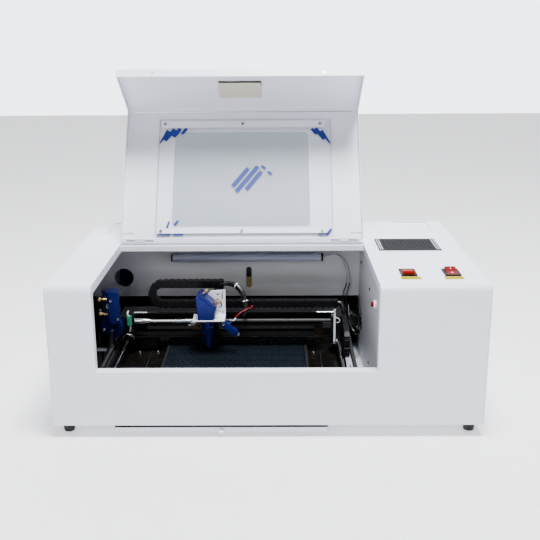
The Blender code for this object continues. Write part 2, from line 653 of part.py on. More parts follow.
def make_lid_hinges():
    """Fixed leaves on the top behind the opening, each with its knuckle and pin."""
    for name, centre in zip(("lid_hinge_left", "lid_hinge_right"), LID_HINGE_X):
        fixed, moving = hinge_spans(centre)
        inset = leaf_span(fixed)
        leaf = block(inset, (LID_HINGE_Y, LID_HINGE_Y + LEAF_LENGTH), (TOP + GAP, TOP + LEAF_SHEET))
        neck = block(inset, (LID_HINGE_Y + 0.0004, LID_HINGE_Y + KNUCKLE_RADIUS + 0.0007),
                     (TOP + 2 * GAP, LID_HINGE_Z))
        pin = (moving[0][0] - 0.001, moving[1][1] + 0.001)
        join(leaf, neck)
        join(leaf, pinned_knuckles(LID_HINGE_Y, LID_HINGE_Z, pin, (fixed,)))
        place(leaf, name, STEEL, cabinet)


def add_hatch_knuckles(sheet, moving):
    """Join bored knuckles to the rear edge of the hatch."""
    for span in moving:
        tongue = block(span, (HATCH_HINGE_Y - HINGE_SLOT - SHEET, HATCH_HINGE_Y - KNUCKLE_BORE - GAP),
                       (UNDER_TOP, TOP))
        join(sheet, *knuckles(HATCH_HINGE_Y, HATCH_HINGE_Z, (span,), KNUCKLE_RADIUS), tongue)
        bore = (span[0] - SHEET, span[1] + SHEET)
        cut(sheet, *knuckles(HATCH_HINGE_Y, HATCH_HINGE_Z, (bore,), KNUCKLE_BORE))


def make_hatch():
    """The cover over the laser tube and the rod that it turns on."""
    left = HATCH_LEFT + HATCH_GAP
    right = HATCH_RIGHT - HATCH_GAP
    front = HATCH_FRONT + HATCH_GAP
    rear = HATCH_HINGE_Y - HINGE_SLOT
    hatch = block((left, right), (front, rear), (UNDER_TOP, TOP))
    low = TOP - HATCH_FLANGE
    join(hatch, block((left, right), (front, front + SHEET), (low, UNDER_TOP + GAP)),
         block((left, left + SHEET), (front, rear - 0.010), (low, UNDER_TOP + GAP)),
         block((right - SHEET, right), (front, rear - 0.010), (low, UNDER_TOP + GAP)))
    fixed_spans = []
    leaves = []
    for centre in HATCH_HINGE_X:
        fixed, moving = hinge_spans(centre)
        add_hatch_knuckles(hatch, moving)
        leaves.append(block(leaf_span(fixed), (HATCH_HINGE_Y + GAP, REAR - 2 * SHEET),
                            (UNDER_TOP - 0.0018, UNDER_TOP - GAP)))
        fixed_spans.append(fixed)
    place(hatch, "rear_hatch", WHITE, hatch_frame)
    ends = (fixed_spans[0][0] - 2 * KNUCKLE_LENGTH, fixed_spans[-1][1] + 2 * KNUCKLE_LENGTH)
    rod = pinned_knuckles(HATCH_HINGE_Y, HATCH_HINGE_Z, ends, fixed_spans)
    for leaf in leaves:
        join(rod, leaf)
    place(rod, "hatch_hinge_rod", STEEL, cabinet)


def make_tray():
    """The debris tray under the body, with the small knob that pulls it out."""
    tray = block((TRAY_LEFT, TRAY_RIGHT), (TRAY_FRONT, TRAY_REAR), (TRAY_BOTTOM, TRAY_TOP))
    hollow = block((TRAY_LEFT + TRAY_WALL, TRAY_RIGHT - TRAY_WALL),
                   (TRAY_FRONT + TRAY_WALL, TRAY_REAR - TRAY_WALL),
                   (TRAY_BOTTOM + TRAY_WALL, TRAY_TOP + TRAY_WALL))
    cut(tray, hollow)
    place(tray, "waste_tray", WHITE, tray_frame)
    face = -(TRAY_FRONT - GAP)
    profile = [(0.0, face), (0.0028, face), (0.0022, face + 0.003), (0.0045, face + 0.0055),
               (0.0045, face + 0.0075), (0.003, face + 0.0085), (0.0, face + 0.0085)]
    flipped = [(radius, -height) for radius, height in profile]
    knob = turned(flipped, (TRAY_KNOB_X, 0.0, (TRAY_TOP + TRAY_BOTTOM) / 2), "y", 16)
    place(knob, "tray_knob", CHROME, tray_frame)


# ---------------------------------------------------------------- controls
def make_switch(name, centre, tilt_deg):
    """A rocker switch: a hollow body with a bezel, and the rocker on its own pivot."""
    half_x = SWITCH_WIDTH / 2
    half_y = SWITCH_DEPTH / 2
    inset = SWITCH_CUT_MARGIN + GAP
    bezel = block((centre - half_x, centre + half_x), (SWITCH_Y - half_y, SWITCH_Y + half_y),
                  (TOP + GAP, TOP + 0.0028))
    body = block((centre - half_x + inset, centre + half_x - inset),
                 (SWITCH_Y - half_y + inset, SWITCH_Y + half_y - inset),
                 (TOP - 0.024, TOP + 0.001))
    join(bezel, body)
    cut(bezel, block((centre - half_x + SWITCH_WALL, centre + half_x - SWITCH_WALL),
                     (SWITCH_Y - half_y + SWITCH_WALL, SWITCH_Y + half_y - SWITCH_WALL),
                     (TOP - 0.012, TOP + 0.010)))
    place(bezel, f"{name}_switch_body", BLACK_PLASTIC, cabinet)
    pivot = carrier(f"{name}_switch_pivot", (centre, SWITCH_Y, ROCKER_PIVOT_Z), cabinet, tilt_deg)
    reach = half_y - SWITCH_WALL - 0.0009
    top = ROCKER_PIVOT_Z
    outline = [(SWITCH_Y - reach, top + 0.0045), (SWITCH_Y, top + 0.0022),
               (SWITCH_Y + reach, top + 0.0045), (SWITCH_Y + reach, top),
               (SWITCH_Y + 0.0035, top - 0.0075), (SWITCH_Y - 0.0035, top - 0.0075),
               (SWITCH_Y - reach, top)]
    side = half_x - SWITCH_WALL - GAP
    rocker = prism(outline, "x", (centre - side, centre + side))
    place(rocker, f"{name}_switch_rocker", RED, pivot)


def make_test_button():
    """The round push button on the electronics bay's wall."""
    centre = (0.0, BUTTON_Y, BUTTON_Z)
    wall_out = BAY_WALL_X - GAP
    wall_in = BAY_WALL_X + SHEET + GAP
    bore = BUTTON_RADIUS + GAP
    profile = [(bore, wall_out - 0.005), (0.0078, wall_out - 0.005), (0.0078, wall_out),
               (BUTTON_NECK, wall_out), (BUTTON_NECK, wall_in + 0.012), (bore, wall_in + 0.012)]
    place(turned(profile, centre, "x"), "test_button_body", WHITE, cabinet)
    pivot = carrier("test_button_axis", (wall_out, BUTTON_Y, BUTTON_Z), cabinet)
    plunger = cylinder(BUTTON_RADIUS, centre, "x", (wall_out - 0.0095, wall_in + 0.006))
    place(plunger, "test_button", RED, pivot)


# ---------------------------------------------------------------- tube, fan and electronics
def make_laser_tube():
    """The glass tube with its two narrow ends, and the cradles that it lies in."""
    left_step = TUBE_LEFT + TUBE_END_LENGTH
    right_step = TUBE_RIGHT - TUBE_END_LENGTH
    profile = [(0.0, TUBE_LEFT), (TUBE_END_RADIUS, TUBE_LEFT), (TUBE_END_RADIUS, left_step),
               (TUBE_RADIUS, left_step), (TUBE_RADIUS, right_step), (TUBE_END_RADIUS, right_step),
               (TUBE_END_RADIUS, TUBE_RIGHT), (0.0, TUBE_RIGHT)]
    tube = turned(profile, (0.0, TUBE_Y, BEAM_HEIGHT), "x")
    place(tube, "laser_tube", GLASS, cabinet)
    for end, centre in CRADLE_X.items():
        half = TUBE_RADIUS + TUBE_WALL_UNDER
        cradle = block((centre - 0.012, centre + 0.012), (TUBE_Y - half, TUBE_Y + half),
                       (SHEET + GAP, BEAM_HEIGHT - 0.010))
        cut(cradle, cylinder(TUBE_RADIUS + GAP * 1.5, (0.0, TUBE_Y, BEAM_HEIGHT), "x",
                             (centre - 0.020, centre + 0.020)))
        place(cradle, f"tube_cradle_{end}", CREAM, cabinet)


def make_first_mirror():
    """The fixed mirror that turns the beam from the tube towards the front."""
    corner = 0.018
    outline = [(BEAM_LINE_X - corner, TUBE_Y - corner), (BEAM_LINE_X + corner, TUBE_Y - corner),
               (BEAM_LINE_X + corner, TUBE_Y + corner - 0.008), (BEAM_LINE_X - corner + 0.026, TUBE_Y + corner),
               (BEAM_LINE_X - corner, TUBE_Y + corner)]
    mount = prism(outline, "z", (BEAM_HEIGHT - 0.022, BEAM_HEIGHT + 0.022))
    post = block((BEAM_LINE_X - 0.010, BEAM_LINE_X + 0.010), (TUBE_Y - 0.010, TUBE_Y + 0.010),
                 (SHEET + GAP, BEAM_HEIGHT))
    foot = block((BEAM_LINE_X - 0.025, BEAM_LINE_X + 0.025), (TUBE_Y - 0.020, TUBE_Y + 0.020),
                 (SHEET + GAP, SHEET + 0.005))
    join(mount, post, foot)
    radius = MIRROR_BORE_RADIUS
    cut(mount, cylinder(radius, (BEAM_LINE_X, 0.0, BEAM_HEIGHT), "y", (TUBE_Y - 2 * corner, TUBE_Y), 16),
        cylinder(radius, (0.0, TUBE_Y, BEAM_HEIGHT), "x", (BEAM_LINE_X, BEAM_LINE_X + 2 * corner), 16))
    place(mount, "first_mirror_mount", BLUE, cabinet)


def make_electronics():
    """The high-voltage supply and the controller in the bay on the right."""
    floor = SHEET + GAP
    supply = block((RIGHT - 0.170, RIGHT - 0.030), (PARTITION_Y - 0.170, PARTITION_Y), (floor, 0.095))
    place(supply, "high_voltage_supply", STEEL, cabinet)
    left = RIGHT - 0.175
    board = block((left, left + 0.140), (0.060, 0.200), (0.012, 0.0136))
    for x in (left + 0.005, left + 0.135):
        for y in (0.065, 0.195):
            join(board, block((x - 0.003, x + 0.003), (y - 0.003, y + 0.003), (floor, 0.013)))
    join(board, block((left + 0.040, left + 0.090), (0.100, 0.150), (0.013, 0.030)),
         block((left + 0.010, left + 0.130), (0.180, 0.195), (0.013, 0.026)))
    place(board, "controller_board", GREEN_BOARD, cabinet)


def make_exhaust():
    """The extractor: a flanged collar behind the back sheet with the fan inside."""
    base = REAR + GAP
    rear = REAR + EXHAUST_LENGTH
    inner = EXHAUST_RADIUS - EXHAUST_WALL
    centre = (EXHAUST_X, 0.0, EXHAUST_Z)
    collar = cylinder(EXHAUST_RADIUS, centre, "y", (base, rear), 32)
    half = EXHAUST_RADIUS + EXHAUST_FLANGE
    flange = block((EXHAUST_X - half, EXHAUST_X + half), (base + GAP, base + 0.003),
                   (EXHAUST_Z - half, EXHAUST_Z + half))
    join(collar, flange)
    cut(collar, cylinder(inner, centre, "y", (base - 0.010, rear + 0.010), 32))
    strut = (base + 0.001, base + 0.004)
    level = block((EXHAUST_X - inner - 0.001, EXHAUST_X + inner + 0.001), strut,
                  (EXHAUST_Z - 0.003, EXHAUST_Z + 0.003))
    upright = block((EXHAUST_X - 0.0029, EXHAUST_X + 0.0029), (base + 0.0012, base + 0.0042),
                    (EXHAUST_Z - inner - 0.001, EXHAUST_Z + inner + 0.001))
    join(level, upright)
    join(level, cylinder(0.018, centre, "y", (base + 0.0005, base + 0.006)))
    join(collar, level)
    place(collar, "fan_housing", BLACK_PLASTIC, cabinet)
    fan_low = base + 0.0065
    fan = cylinder(0.017, centre, "y", (fan_low, fan_low + 0.016))
    for step in range(5):
        angle = 2 * math.pi * step / 5
        blade = block((0.012, inner - 0.004), (-0.0009, 0.0009), (-0.009, 0.009))
        turn = Matrix.Rotation(angle, 4, "Y") @ Matrix.Rotation(math.radians(55), 4, "X")
        shift = Matrix.Translation((EXHAUST_X, fan_low + 0.008, EXHAUST_Z))
        blade.data.transform(shift @ turn)
        join(fan, blade)
    axle = carrier("fan_axle", (EXHAUST_X, base, EXHAUST_Z), cabinet)
    place(fan, "fan_rotor", BLACK_PLASTIC, axle)


# ---------------------------------------------------------------- lamp and its lead
LEAD_STEPS = [(-0.0853, -0.0110, 0.2320), (-0.0758, -0.0115, 0.2345), (-0.0618, -0.0120, 0.2375),
              (-0.0498, -0.0125, 0.2345), (-0.0398, -0.0125, 0.2240), (-0.0323, -0.0125, 0.2080),
              (-0.0283, -0.0125, 0.1900), (-0.0276, -0.0120, 0.1740), (-0.0298, -0.0110, 0.1590),
              (-0.0338, -0.0100, 0.1450), (-0.0358, -0.0110, 0.1300), (-0.0343, -0.0160, 0.1170),
              (-0.0288, -0.0230, 0.1080), (-0.0198, -0.0300, 0.1010), (-0.0098, -0.0350, 0.0950),
              (0.0007, -0.0375, 0.0900), (0.0102, -0.0380, 0.0870)]


def smooth_route(points, spacing):
    """A Catmull-Rom curve through the points, read at about even steps."""
    knots = [Vector(point) for point in points]
    knots = [2 * knots[0] - knots[1]] + knots + [2 * knots[-1] - knots[-2]]
    route = []
    for index in range(1, len(knots) - 2):
        before, start, end, after = knots[index - 1:index + 3]
        steps = max(1, round((end - start).length / spacing))
        for step in range(steps):
            t = step / steps
            route.append(0.5 * (2 * start + (end - before) * t
                                + (2 * before - 5 * start + 4 * end - after) * t ** 2
                                + (3 * start - before - 3 * end + after) * t ** 3))
    route.append(knots[-2])
    return route


def make_lamp():
    """The strip lamp on the partition and the lead that runs to the electronics."""
    profile = [(0.0, LAMP_LEFT), (LAMP_RADIUS, LAMP_LEFT), (LAMP_RADIUS, LAMP_RIGHT), (0.0, LAMP_RIGHT)]
    lamp = turned(profile, (0.0, LAMP_Y, LAMP_Z), "x")
    join(lamp, block((LAMP_LEFT + 0.010, LAMP_RIGHT - 0.010), (LAMP_Y, PARTITION_Y - GAP),
                     (LAMP_Z - 0.004, LAMP_Z + 0.004)))
    place(lamp, "work_lamp", DIFFUSER, cabinet)
    corner = Vector((BAY_WALL_X, PARTITION_Y, 0.0))
    route = smooth_route([corner + Vector(step) for step in LEAD_STEPS], 5 * LEAD_RADIUS)
    curve = bpy.data.curves.new("lamp_lead", "CURVE")
    curve.dimensions = "3D"
    curve.bevel_depth = LEAD_RADIUS
    curve.bevel_resolution = 2
    curve.use_fill_caps = True
    spline = curve.splines.new("POLY")
    spline.points.add(len(route) - 1)
    for point, place_on in zip(spline.points, route):
        point.co = (*place_on, 1.0)
    lead = bpy.data.objects.new("lamp_lead", curve)
    bpy.context.scene.collection.objects.link(lead)
    lead.data.materials.append(WHITE)
    lead.parent = cabinet


# ---------------------------------------------------------------- motion system
def make_chassis():
    """The frame under the gantry: a deck with a window for the bed, and four walls."""
    deck_top = BED_TOP - BED_THICKNESS - GAP
    floor = SHEET + GAP
    half = CHASSIS_SHEET / 2
    inner_x = (CHASSIS_LEFT + half, CHASSIS_RIGHT - half)
    deck = block(inner_x, (CHASSIS_FRONT + half, CHASSIS_REAR - half), (deck_top - CHASSIS_SHEET, deck_top))
    end_top = Y_ROD_Z + 0.012
    low_top = deck_top + 0.010
    front = block(inner_x, (CHASSIS_FRONT, CHASSIS_FRONT + CHASSIS_SHEET), (floor + GAP, end_top - GAP))
    rear = block(inner_x, (CHASSIS_REAR - CHASSIS_SHEET, CHASSIS_REAR), (floor + GAP, end_top - GAP))
    near = CHASSIS_FRONT + half
    far = CHASSIS_REAR - half
    outline = [(near, floor), (far, floor), (far, end_top),
               (DRIVE_SHAFT_Y - 0.010, end_top), (DRIVE_SHAFT_Y - 0.010, low_top),
               (IDLER_Y + 0.010, low_top), (IDLER_Y + 0.010, end_top), (near, end_top)]
    left = prism(outline, "x", (CHASSIS_LEFT, CHASSIS_LEFT + CHASSIS_SHEET))
    right = prism(outline, "x", (CHASSIS_RIGHT - CHASSIS_SHEET, CHASSIS_RIGHT))
    join(deck, front, rear, left, right)
    ledge = block((BED_LEFT + BED_LEDGE, BED_RIGHT - BED_LEDGE), (BED_FRONT + BED_LEDGE, BED_REAR - BED_LEDGE),
                  (deck_top - 0.010, deck_top + 0.010))
    shaft_hole = cylinder(ROD_RADIUS + ROD_CLEARANCE, (0.0, DRIVE_SHAFT_Y, DRIVE_SHAFT_Z), "x",
                          (CHASSIS_LEFT - 0.010, CHASSIS_RIGHT + 0.010), 16)
    cut(deck, ledge, shaft_hole)
    idler_left = cylinder(PULLEY_RADIUS, (0.0, IDLER_Y, DRIVE_SHAFT_Z), "x",
                          (BELT_LEFT_X[0], CHASSIS_LEFT + GAP), 16)
    idler_right = cylinder(PULLEY_RADIUS, (0.0, IDLER_Y, DRIVE_SHAFT_Z), "x",
                           (CHASSIS_RIGHT - GAP, BELT_RIGHT_X[1]), 16)
    join(deck, idler_left, idler_right)
    place(deck, "chassis_frame", BLACK_METAL, cabinet)
    bed = block((BED_LEFT, BED_RIGHT), (BED_FRONT, BED_REAR), (BED_TOP - BED_THICKNESS, BED_TOP))
    place(bed, "honeycomb_bed", BED_METAL, cabinet)


def make_y_drive():
    """The two guide rods, the belts, the cross shaft that drives them and its motor."""
    rod_span = (CHASSIS_FRONT + CHASSIS_SHEET + GAP, CHASSIS_REAR - CHASSIS_SHEET - GAP)
    for name, x in (("y_rod_left", Y_ROD_LEFT_X), ("y_rod_right", Y_ROD_RIGHT_X)):
        place(cylinder(ROD_RADIUS, (x, 0.0, Y_ROD_Z), "y", rod_span, 16), name, CHROME, cabinet)
    inner = PULLEY_RADIUS + GAP
    for name, span in (("y_belt_left", BELT_LEFT_X), ("y_belt_right", BELT_RIGHT_X)):
        belt = loop_belt("x", span, (IDLER_Y, DRIVE_SHAFT_Z), (DRIVE_SHAFT_Y, DRIVE_SHAFT_Z),
                         inner, BELT_THICKNESS)
        place(belt, name, RUBBER, cabinet)
    shaft = ROD_RADIUS
    profile = [(0.0, BELT_LEFT_X[0]), (PULLEY_RADIUS, BELT_LEFT_X[0]), (PULLEY_RADIUS, CHASSIS_LEFT - GAP),
               (shaft, CHASSIS_LEFT - GAP), (shaft, CHASSIS_RIGHT + GAP),
               (PULLEY_RADIUS, CHASSIS_RIGHT + GAP), (PULLEY_RADIUS, BELT_RIGHT_X[1]),
               (0.0, BELT_RIGHT_X[1])]
    turning = turned(profile, (0.0, DRIVE_SHAFT_Y, DRIVE_SHAFT_Z), "x", 16)
    axle = carrier("y_drive_axis", (0.0, DRIVE_SHAFT_Y, DRIVE_SHAFT_Z), cabinet)
    place(turning, "y_drive_shaft", STEEL, axle)
    side = Y_MOTOR_SIDE / 2
    motor_left = BELT_RIGHT_X[1] + 0.003
    motor = block((motor_left, BAY_WALL_X - 0.0015), (DRIVE_SHAFT_Y - side, DRIVE_SHAFT_Y + side),
                  (DRIVE_SHAFT_Z - side, DRIVE_SHAFT_Z + side))
    place(motor, "y_motor", BLACK_METAL, cabinet)


def cable_chain(axis, span, near_bend, upper_end, lower_end, middle, radius):
    """A cable chain's outline: two runs joined by a half-round bend, extruded across.

    near_bend is the bend centre's place along the runs; the runs leave it towards
    upper_end and lower_end, which lie on the same side.
    """
    inner = radius - CHAIN_HEIGHT
    outline = [(upper_end, middle + inner), (upper_end, middle + radius)]
    outline += arc((near_bend, middle), radius, 90, 270, 8)
    outline += [(lower_end, middle - radius), (lower_end, middle - inner)]
    outline += arc((near_bend, middle), inner, 270, 90, 8)
    return prism(outline, axis, span)


def make_gantry():
    """The cross beam with its end blocks, guide rod, motor, belt and cable chain."""
    x_span = (LEFT_BLOCK_X[0], RIGHT_BLOCK_X[1])
    front = BEAM_REAR - BEAM_CHANNEL_DEPTH
    web = block(x_span, (BEAM_REAR - BEAM_SHEET, BEAM_REAR), (BEAM_BOTTOM, BEAM_TOP))
    top = block(x_span, (front, BEAM_REAR), (BEAM_TOP - BEAM_SHEET, BEAM_TOP))
    floor = block(x_span, (X_ROD_Y, BEAM_REAR), (BEAM_BOTTOM, BEAM_BOTTOM + BEAM_SHEET))
    block_z = (Y_ROD_Z - 0.012, BEAM_TOP)
    left = block(LEFT_BLOCK_X, (END_BLOCK_FRONT, BEAM_REAR), block_z)
    right = block(RIGHT_BLOCK_X, (END_BLOCK_FRONT, BEAM_REAR), block_z)
    behind_rod = X_ROD_Y + ROD_RADIUS
    corner = block((RIGHT_BLOCK_X[0] - 0.0355, RIGHT_BLOCK_X[0] + GAP), (behind_rod + GAP, behind_rod + 0.003),
                   (BEAM_BOTTOM + GAP, X_ROD_Z - SLIDER_HALF - 0.001))
    chain_top = Y_CHAIN_MIDDLE + Y_CHAIN_LOOP_RADIUS
    chain_tab = block((RIGHT_BLOCK_X[1] - GAP, Y_CHAIN_X[1]), (Y_CHAIN_TOP_END + GAP, BEAM_REAR),
                      (chain_top - CHAIN_HEIGHT, chain_top))
    join(web, top, floor, left, right, corner, chain_tab)
    bores = []
    for x in (Y_ROD_LEFT_X, Y_ROD_RIGHT_X):
        bores.append(cylinder(ROD_RADIUS + ROD_CLEARANCE, (x, 0.0, Y_ROD_Z), "y",
                              (END_BLOCK_FRONT - 0.010, BEAM_REAR + 0.010), 16))
    motor_hole = cylinder(PULLEY_RADIUS + 0.0015, (X_MOTOR_X, X_BELT_Y, 0.0), "z",
                          (BEAM_BOTTOM - 0.005, BEAM_BOTTOM + 0.006), 16)
    cut(web, *bores, motor_hole)
    place(web, "gantry_beam", BLACK_METAL, gantry_frame)
    rod_span = (LEFT_BLOCK_X[1] + GAP, RIGHT_BLOCK_X[0] - GAP)
    rod = cylinder(ROD_RADIUS, (0.0, X_ROD_Y, X_ROD_Z), "x", rod_span, 16)
    place(rod, "x_guide_rod", CHROME, gantry_frame)
    side = X_MOTOR_SIDE / 2
    motor = block((X_MOTOR_X - side, X_MOTOR_X + side), (X_BELT_Y - side, X_BELT_Y + side),
                  (BED_TOP - BED_THICKNESS + 0.0025, BEAM_BOTTOM - GAP))
    pulley = cylinder(PULLEY_RADIUS, (X_MOTOR_X, X_BELT_Y, 0.0), "z",
                      (BEAM_BOTTOM - 2 * GAP, X_BELT_Z + BELT_WIDTH / 2 + 0.001), 16)
    place(join(motor, pulley), "x_motor", BLACK_METAL, gantry_frame)
    belt = loop_belt("z", (X_BELT_Z - BELT_WIDTH / 2, X_BELT_Z + BELT_WIDTH / 2), (X_MOTOR_X, X_BELT_Y),
                     (X_IDLER_X, X_BELT_Y), PULLEY_RADIUS + GAP, BELT_THICKNESS)
    place(belt, "x_belt", RUBBER, gantry_frame)


def make_chains():
    """The two cable chains, each a bend between a fixed run and a moving run."""
    x_chain = cable_chain("y", X_CHAIN_Y, X_CHAIN_BEND, X_CHAIN_TOP_END, X_CHAIN_LOW_END,
                          X_CHAIN_MIDDLE, X_CHAIN_LOOP_RADIUS)
    place(x_chain, "x_cable_chain", BLACK_PLASTIC, gantry_frame)
    y_chain = cable_chain("x", Y_CHAIN_X, Y_CHAIN_BEND, Y_CHAIN_TOP_END, Y_CHAIN_LOW_END,
                          Y_CHAIN_MIDDLE, Y_CHAIN_LOOP_RADIUS)
    place(y_chain, "y_cable_chain", BLACK_PLASTIC, cabinet)


def make_second_mirror():
    """The mirror on the gantry's left end, which turns the beam along the gantry."""
    x = BEAM_LINE_X
    y = HEAD_Y
    plan = [(x - 0.013, y + 0.017), (x - 0.013, y), (x + 0.002, y - 0.015), (x + 0.022, y - 0.015),
            (x + 0.022, y + 0.017)]
    mount = prism(plan, "z", (0.150, 0.2085))
    shape = [(x + 0.008, 0.100), (x + 0.0275, 0.118), (x + 0.0275, 0.138), (x + 0.020, 0.154),
             (x - 0.010, 0.154), (x - 0.020, 0.136), (x - 0.014, 0.124)]
    arm = block((LEFT_BLOCK_X[0] + 0.0005, x + 0.027), (y, END_BLOCK_FRONT - GAP), (0.112, 0.138))
    join(mount, prism(shape, "y", (y - 0.009, y + 0.009)), arm)
    past = 0.003
    cut(mount, cylinder(MIRROR_BORE_RADIUS, (x, 0.0, BEAM_HEIGHT), "y", (y - past, y + 0.035), 16))
    cut(mount, cylinder(MIRROR_BORE_RADIUS - 0.0002, (0.0, y, BEAM_HEIGHT), "x", (x - past, x + 0.038), 16))
    place(mount, "second_mirror_mount", BLUE, gantry_frame)


# ---------------------------------------------------------------- laser head
BRONZE_Z = (0.120, 0.134)
TAB_Y = (HEAD_Y + 0.0035, HEAD_Y + 0.0055)


def make_carriage():
    """The bent head plate on its slider block, with the two bronze blocks below."""
    back = CARRIAGE_FRONT + HEAD_SHEET
    x = HEAD_X
    x_span = (HEAD_PLATE_LEFT, HEAD_PLATE_RIGHT)
    plate = block(x_span, (CARRIAGE_FRONT, back), (HEAD_PLATE_LOW, HEAD_PLATE_TOP))
    floor = block(x_span, (HEAD_Y - 0.021, back), (HEAD_FLOOR, HEAD_FLOOR + HEAD_SHEET))
    half = SLIDER_HALF
    slider = block((x - 0.031, x + 0.031), (back - GAP, X_ROD_Y + half), (X_ROD_Z - half, X_ROD_Z + half))
    bronze_front = HEAD_Y + 0.007
    bronze_left = block((x - 0.035, x - 0.0145), (bronze_front, back), BRONZE_Z)
    bronze_right = block((x + 0.0235, x + 0.0365), (bronze_front, back), BRONZE_Z)
    belt_front = X_BELT_Y - PULLEY_RADIUS - BELT_THICKNESS - 2 * GAP
    belt_tab = block((x - 0.006, x + 0.006), (X_ROD_Y + 0.006, belt_front), (X_BELT_Z - 0.004, X_ROD_Z))
    arm_top = X_CHAIN_MIDDLE + X_CHAIN_LOOP_RADIUS - CHAIN_HEIGHT - GAP
    arm = block((x + 0.011, X_CHAIN_TOP_END), (back - GAP, X_CHAIN_Y[1]), (arm_top - HEAD_SHEET, arm_top))
    pointer_tab = block((x + 0.0295, x + 0.0350), TAB_Y, (0.130, HEAD_FLOOR + GAP))
    knob_tab = block((KNOB_X - 0.004, KNOB_X + 0.005), TAB_Y, (0.135, HEAD_FLOOR + GAP))
    join(plate, floor, slider, bronze_left, bronze_right, belt_tab, arm, pointer_tab, knob_tab)
    bore = cylinder(ROD_RADIUS + ROD_CLEARANCE, (0.0, X_ROD_Y, X_ROD_Z), "x", (x - 0.041, x + 0.039), 16)
    neck = cylinder(LENS_NECK_RADIUS + ROD_CLEARANCE, (x, HEAD_Y, 0.0), "z",
                    (HEAD_FLOOR - 0.005, HEAD_FLOOR + 0.005))
    cut(plate, bore, neck)
    place(plate, "head_carriage", LIGHT_GREY, carriage_frame)


def make_third_mirror():
    """The wedge-shaped mount whose mirror turns the beam down into the lens."""
    low = HEAD_FLOOR + HEAD_SHEET + GAP
    x = HEAD_X
    outline = [(x - 0.019, low), (x + 0.014, low), (x + 0.017, 0.1700), (x - 0.019, 0.2020), (x - 0.023, 0.1960)]
    mount = prism(outline, "y", (HEAD_Y - 0.019, CARRIAGE_FRONT - 2 * GAP))
    slope = [(x - 0.0192, 0.2005), (x + 0.0155, 0.1696), (x + 0.021, 0.1755), (x - 0.013, 0.2070)]
    join(mount, prism(slope, "y", (HEAD_Y - 0.017, CARRIAGE_FRONT - 0.003)))
    cut(mount, cylinder(LENS_NECK_RADIUS + ROD_CLEARANCE, (x, HEAD_Y, 0.0), "z", (low - 0.005, 0.1640)),
        cylinder(MIRROR_BORE_RADIUS - 0.001, (0.0, HEAD_Y, BEAM_HEIGHT), "x", (x - 0.041, x + 0.002), 16))
    place(mount, "third_mirror_mount", BLUE, carriage_frame)


def make_lens_tube():
    """The focusing tube and nozzle, which slides up and down in the head."""
    body = LENS_BODY_RADIUS
    profile = [(0.0022, NOZZLE_TIP), (0.0042, NOZZLE_TIP + 0.004), (0.0085, 0.0995), (0.0115, 0.1120),
               (body, 0.1180), (body, 0.1330), (LENS_NECK_RADIUS, 0.1345), (LENS_NECK_RADIUS, 0.1620),
               (0.0060, 0.1620), (0.0060, 0.1100), (0.0015, 0.0900), (0.0015, NOZZLE_TIP)]
    axis = carrier("focus_axis", (HEAD_X, HEAD_Y, NOZZLE_TIP), carriage_frame)
    place(turned(profile, (HEAD_X, HEAD_Y, 0.0), "z"), "lens_tube", BLUE, axis)


def make_head_fittings():
    """The red-dot pointer on its swivel and the knurled focus clamp screw."""
    pivot = carrier("pointer_pivot", POINTER_PIVOT, carriage_frame)
    body = block((-0.005, 0.033), (-0.0055, 0.0065), (-0.0065, 0.0065))
    nose = cylinder(0.0035, (0.0, 0.0005, 0.0), "x", (0.030, 0.0375), 12)
    join(body, nose)
    turn = Matrix.Rotation(math.radians(POINTER_TILT_DEG), 4, "Y")
    body.data.transform(Matrix.Translation(POINTER_PIVOT) @ turn)
    place(body, "laser_pointer", BLUE, pivot)
    stem = TAB_Y[0] - GAP
    face = HEAD_Y - 0.0015
    profile = [(0.0, stem), (0.0020, stem), (0.0020, face), (0.0067, face), (0.0067, face - 0.0075),
               (0.0055, face - 0.0085), (0.0, face - 0.0085)]
    axis = carrier("clamp_screw_axis", (KNOB_X, stem, KNOB_Z), carriage_frame)
    place(turned(profile, (KNOB_X, 0.0, KNOB_Z), "y", 20), "focus_clamp_screw", STEEL, axis)


# ---------------------------------------------------------------- the whole machine
make_front_top_shell()
make_side_panel("left_side_panel", (LEFT, LEFT + SHEET), 0)
make_side_panel("right_side_panel", (RIGHT - SHEET, RIGHT), 6)
make_rear_panel()
make_bottom_pan()
make_partitions()
make_vent_grille()
make_feet()
make_lid()
make_lid_hinges()
make_hatch()
make_tray()
make_switch("main", SWITCH_X["main"], -SWITCH_TILT_DEG)
make_switch("light", SWITCH_X["light"], SWITCH_TILT_DEG)
make_test_button()
make_laser_tube()
make_first_mirror()
make_electronics()
make_exhaust()
make_lamp()
make_chassis()
make_y_drive()
make_gantry()
make_chains()
make_second_mirror()
make_carriage()
make_third_mirror()
make_lens_tube()
make_head_fittings()
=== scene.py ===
# %% [markdown]
# # A desktop laser cutter, from frame to finish
#
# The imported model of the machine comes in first. It already has every rigid piece at
# its true size, so nothing here moves it. This file gives each piece its surface, and
# adds the small things that a maker fits last: screws, wires, chain links and films.

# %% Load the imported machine
import json
import math

import bmesh
import bpy
import numpy as np
from mathutils import Matrix, Vector


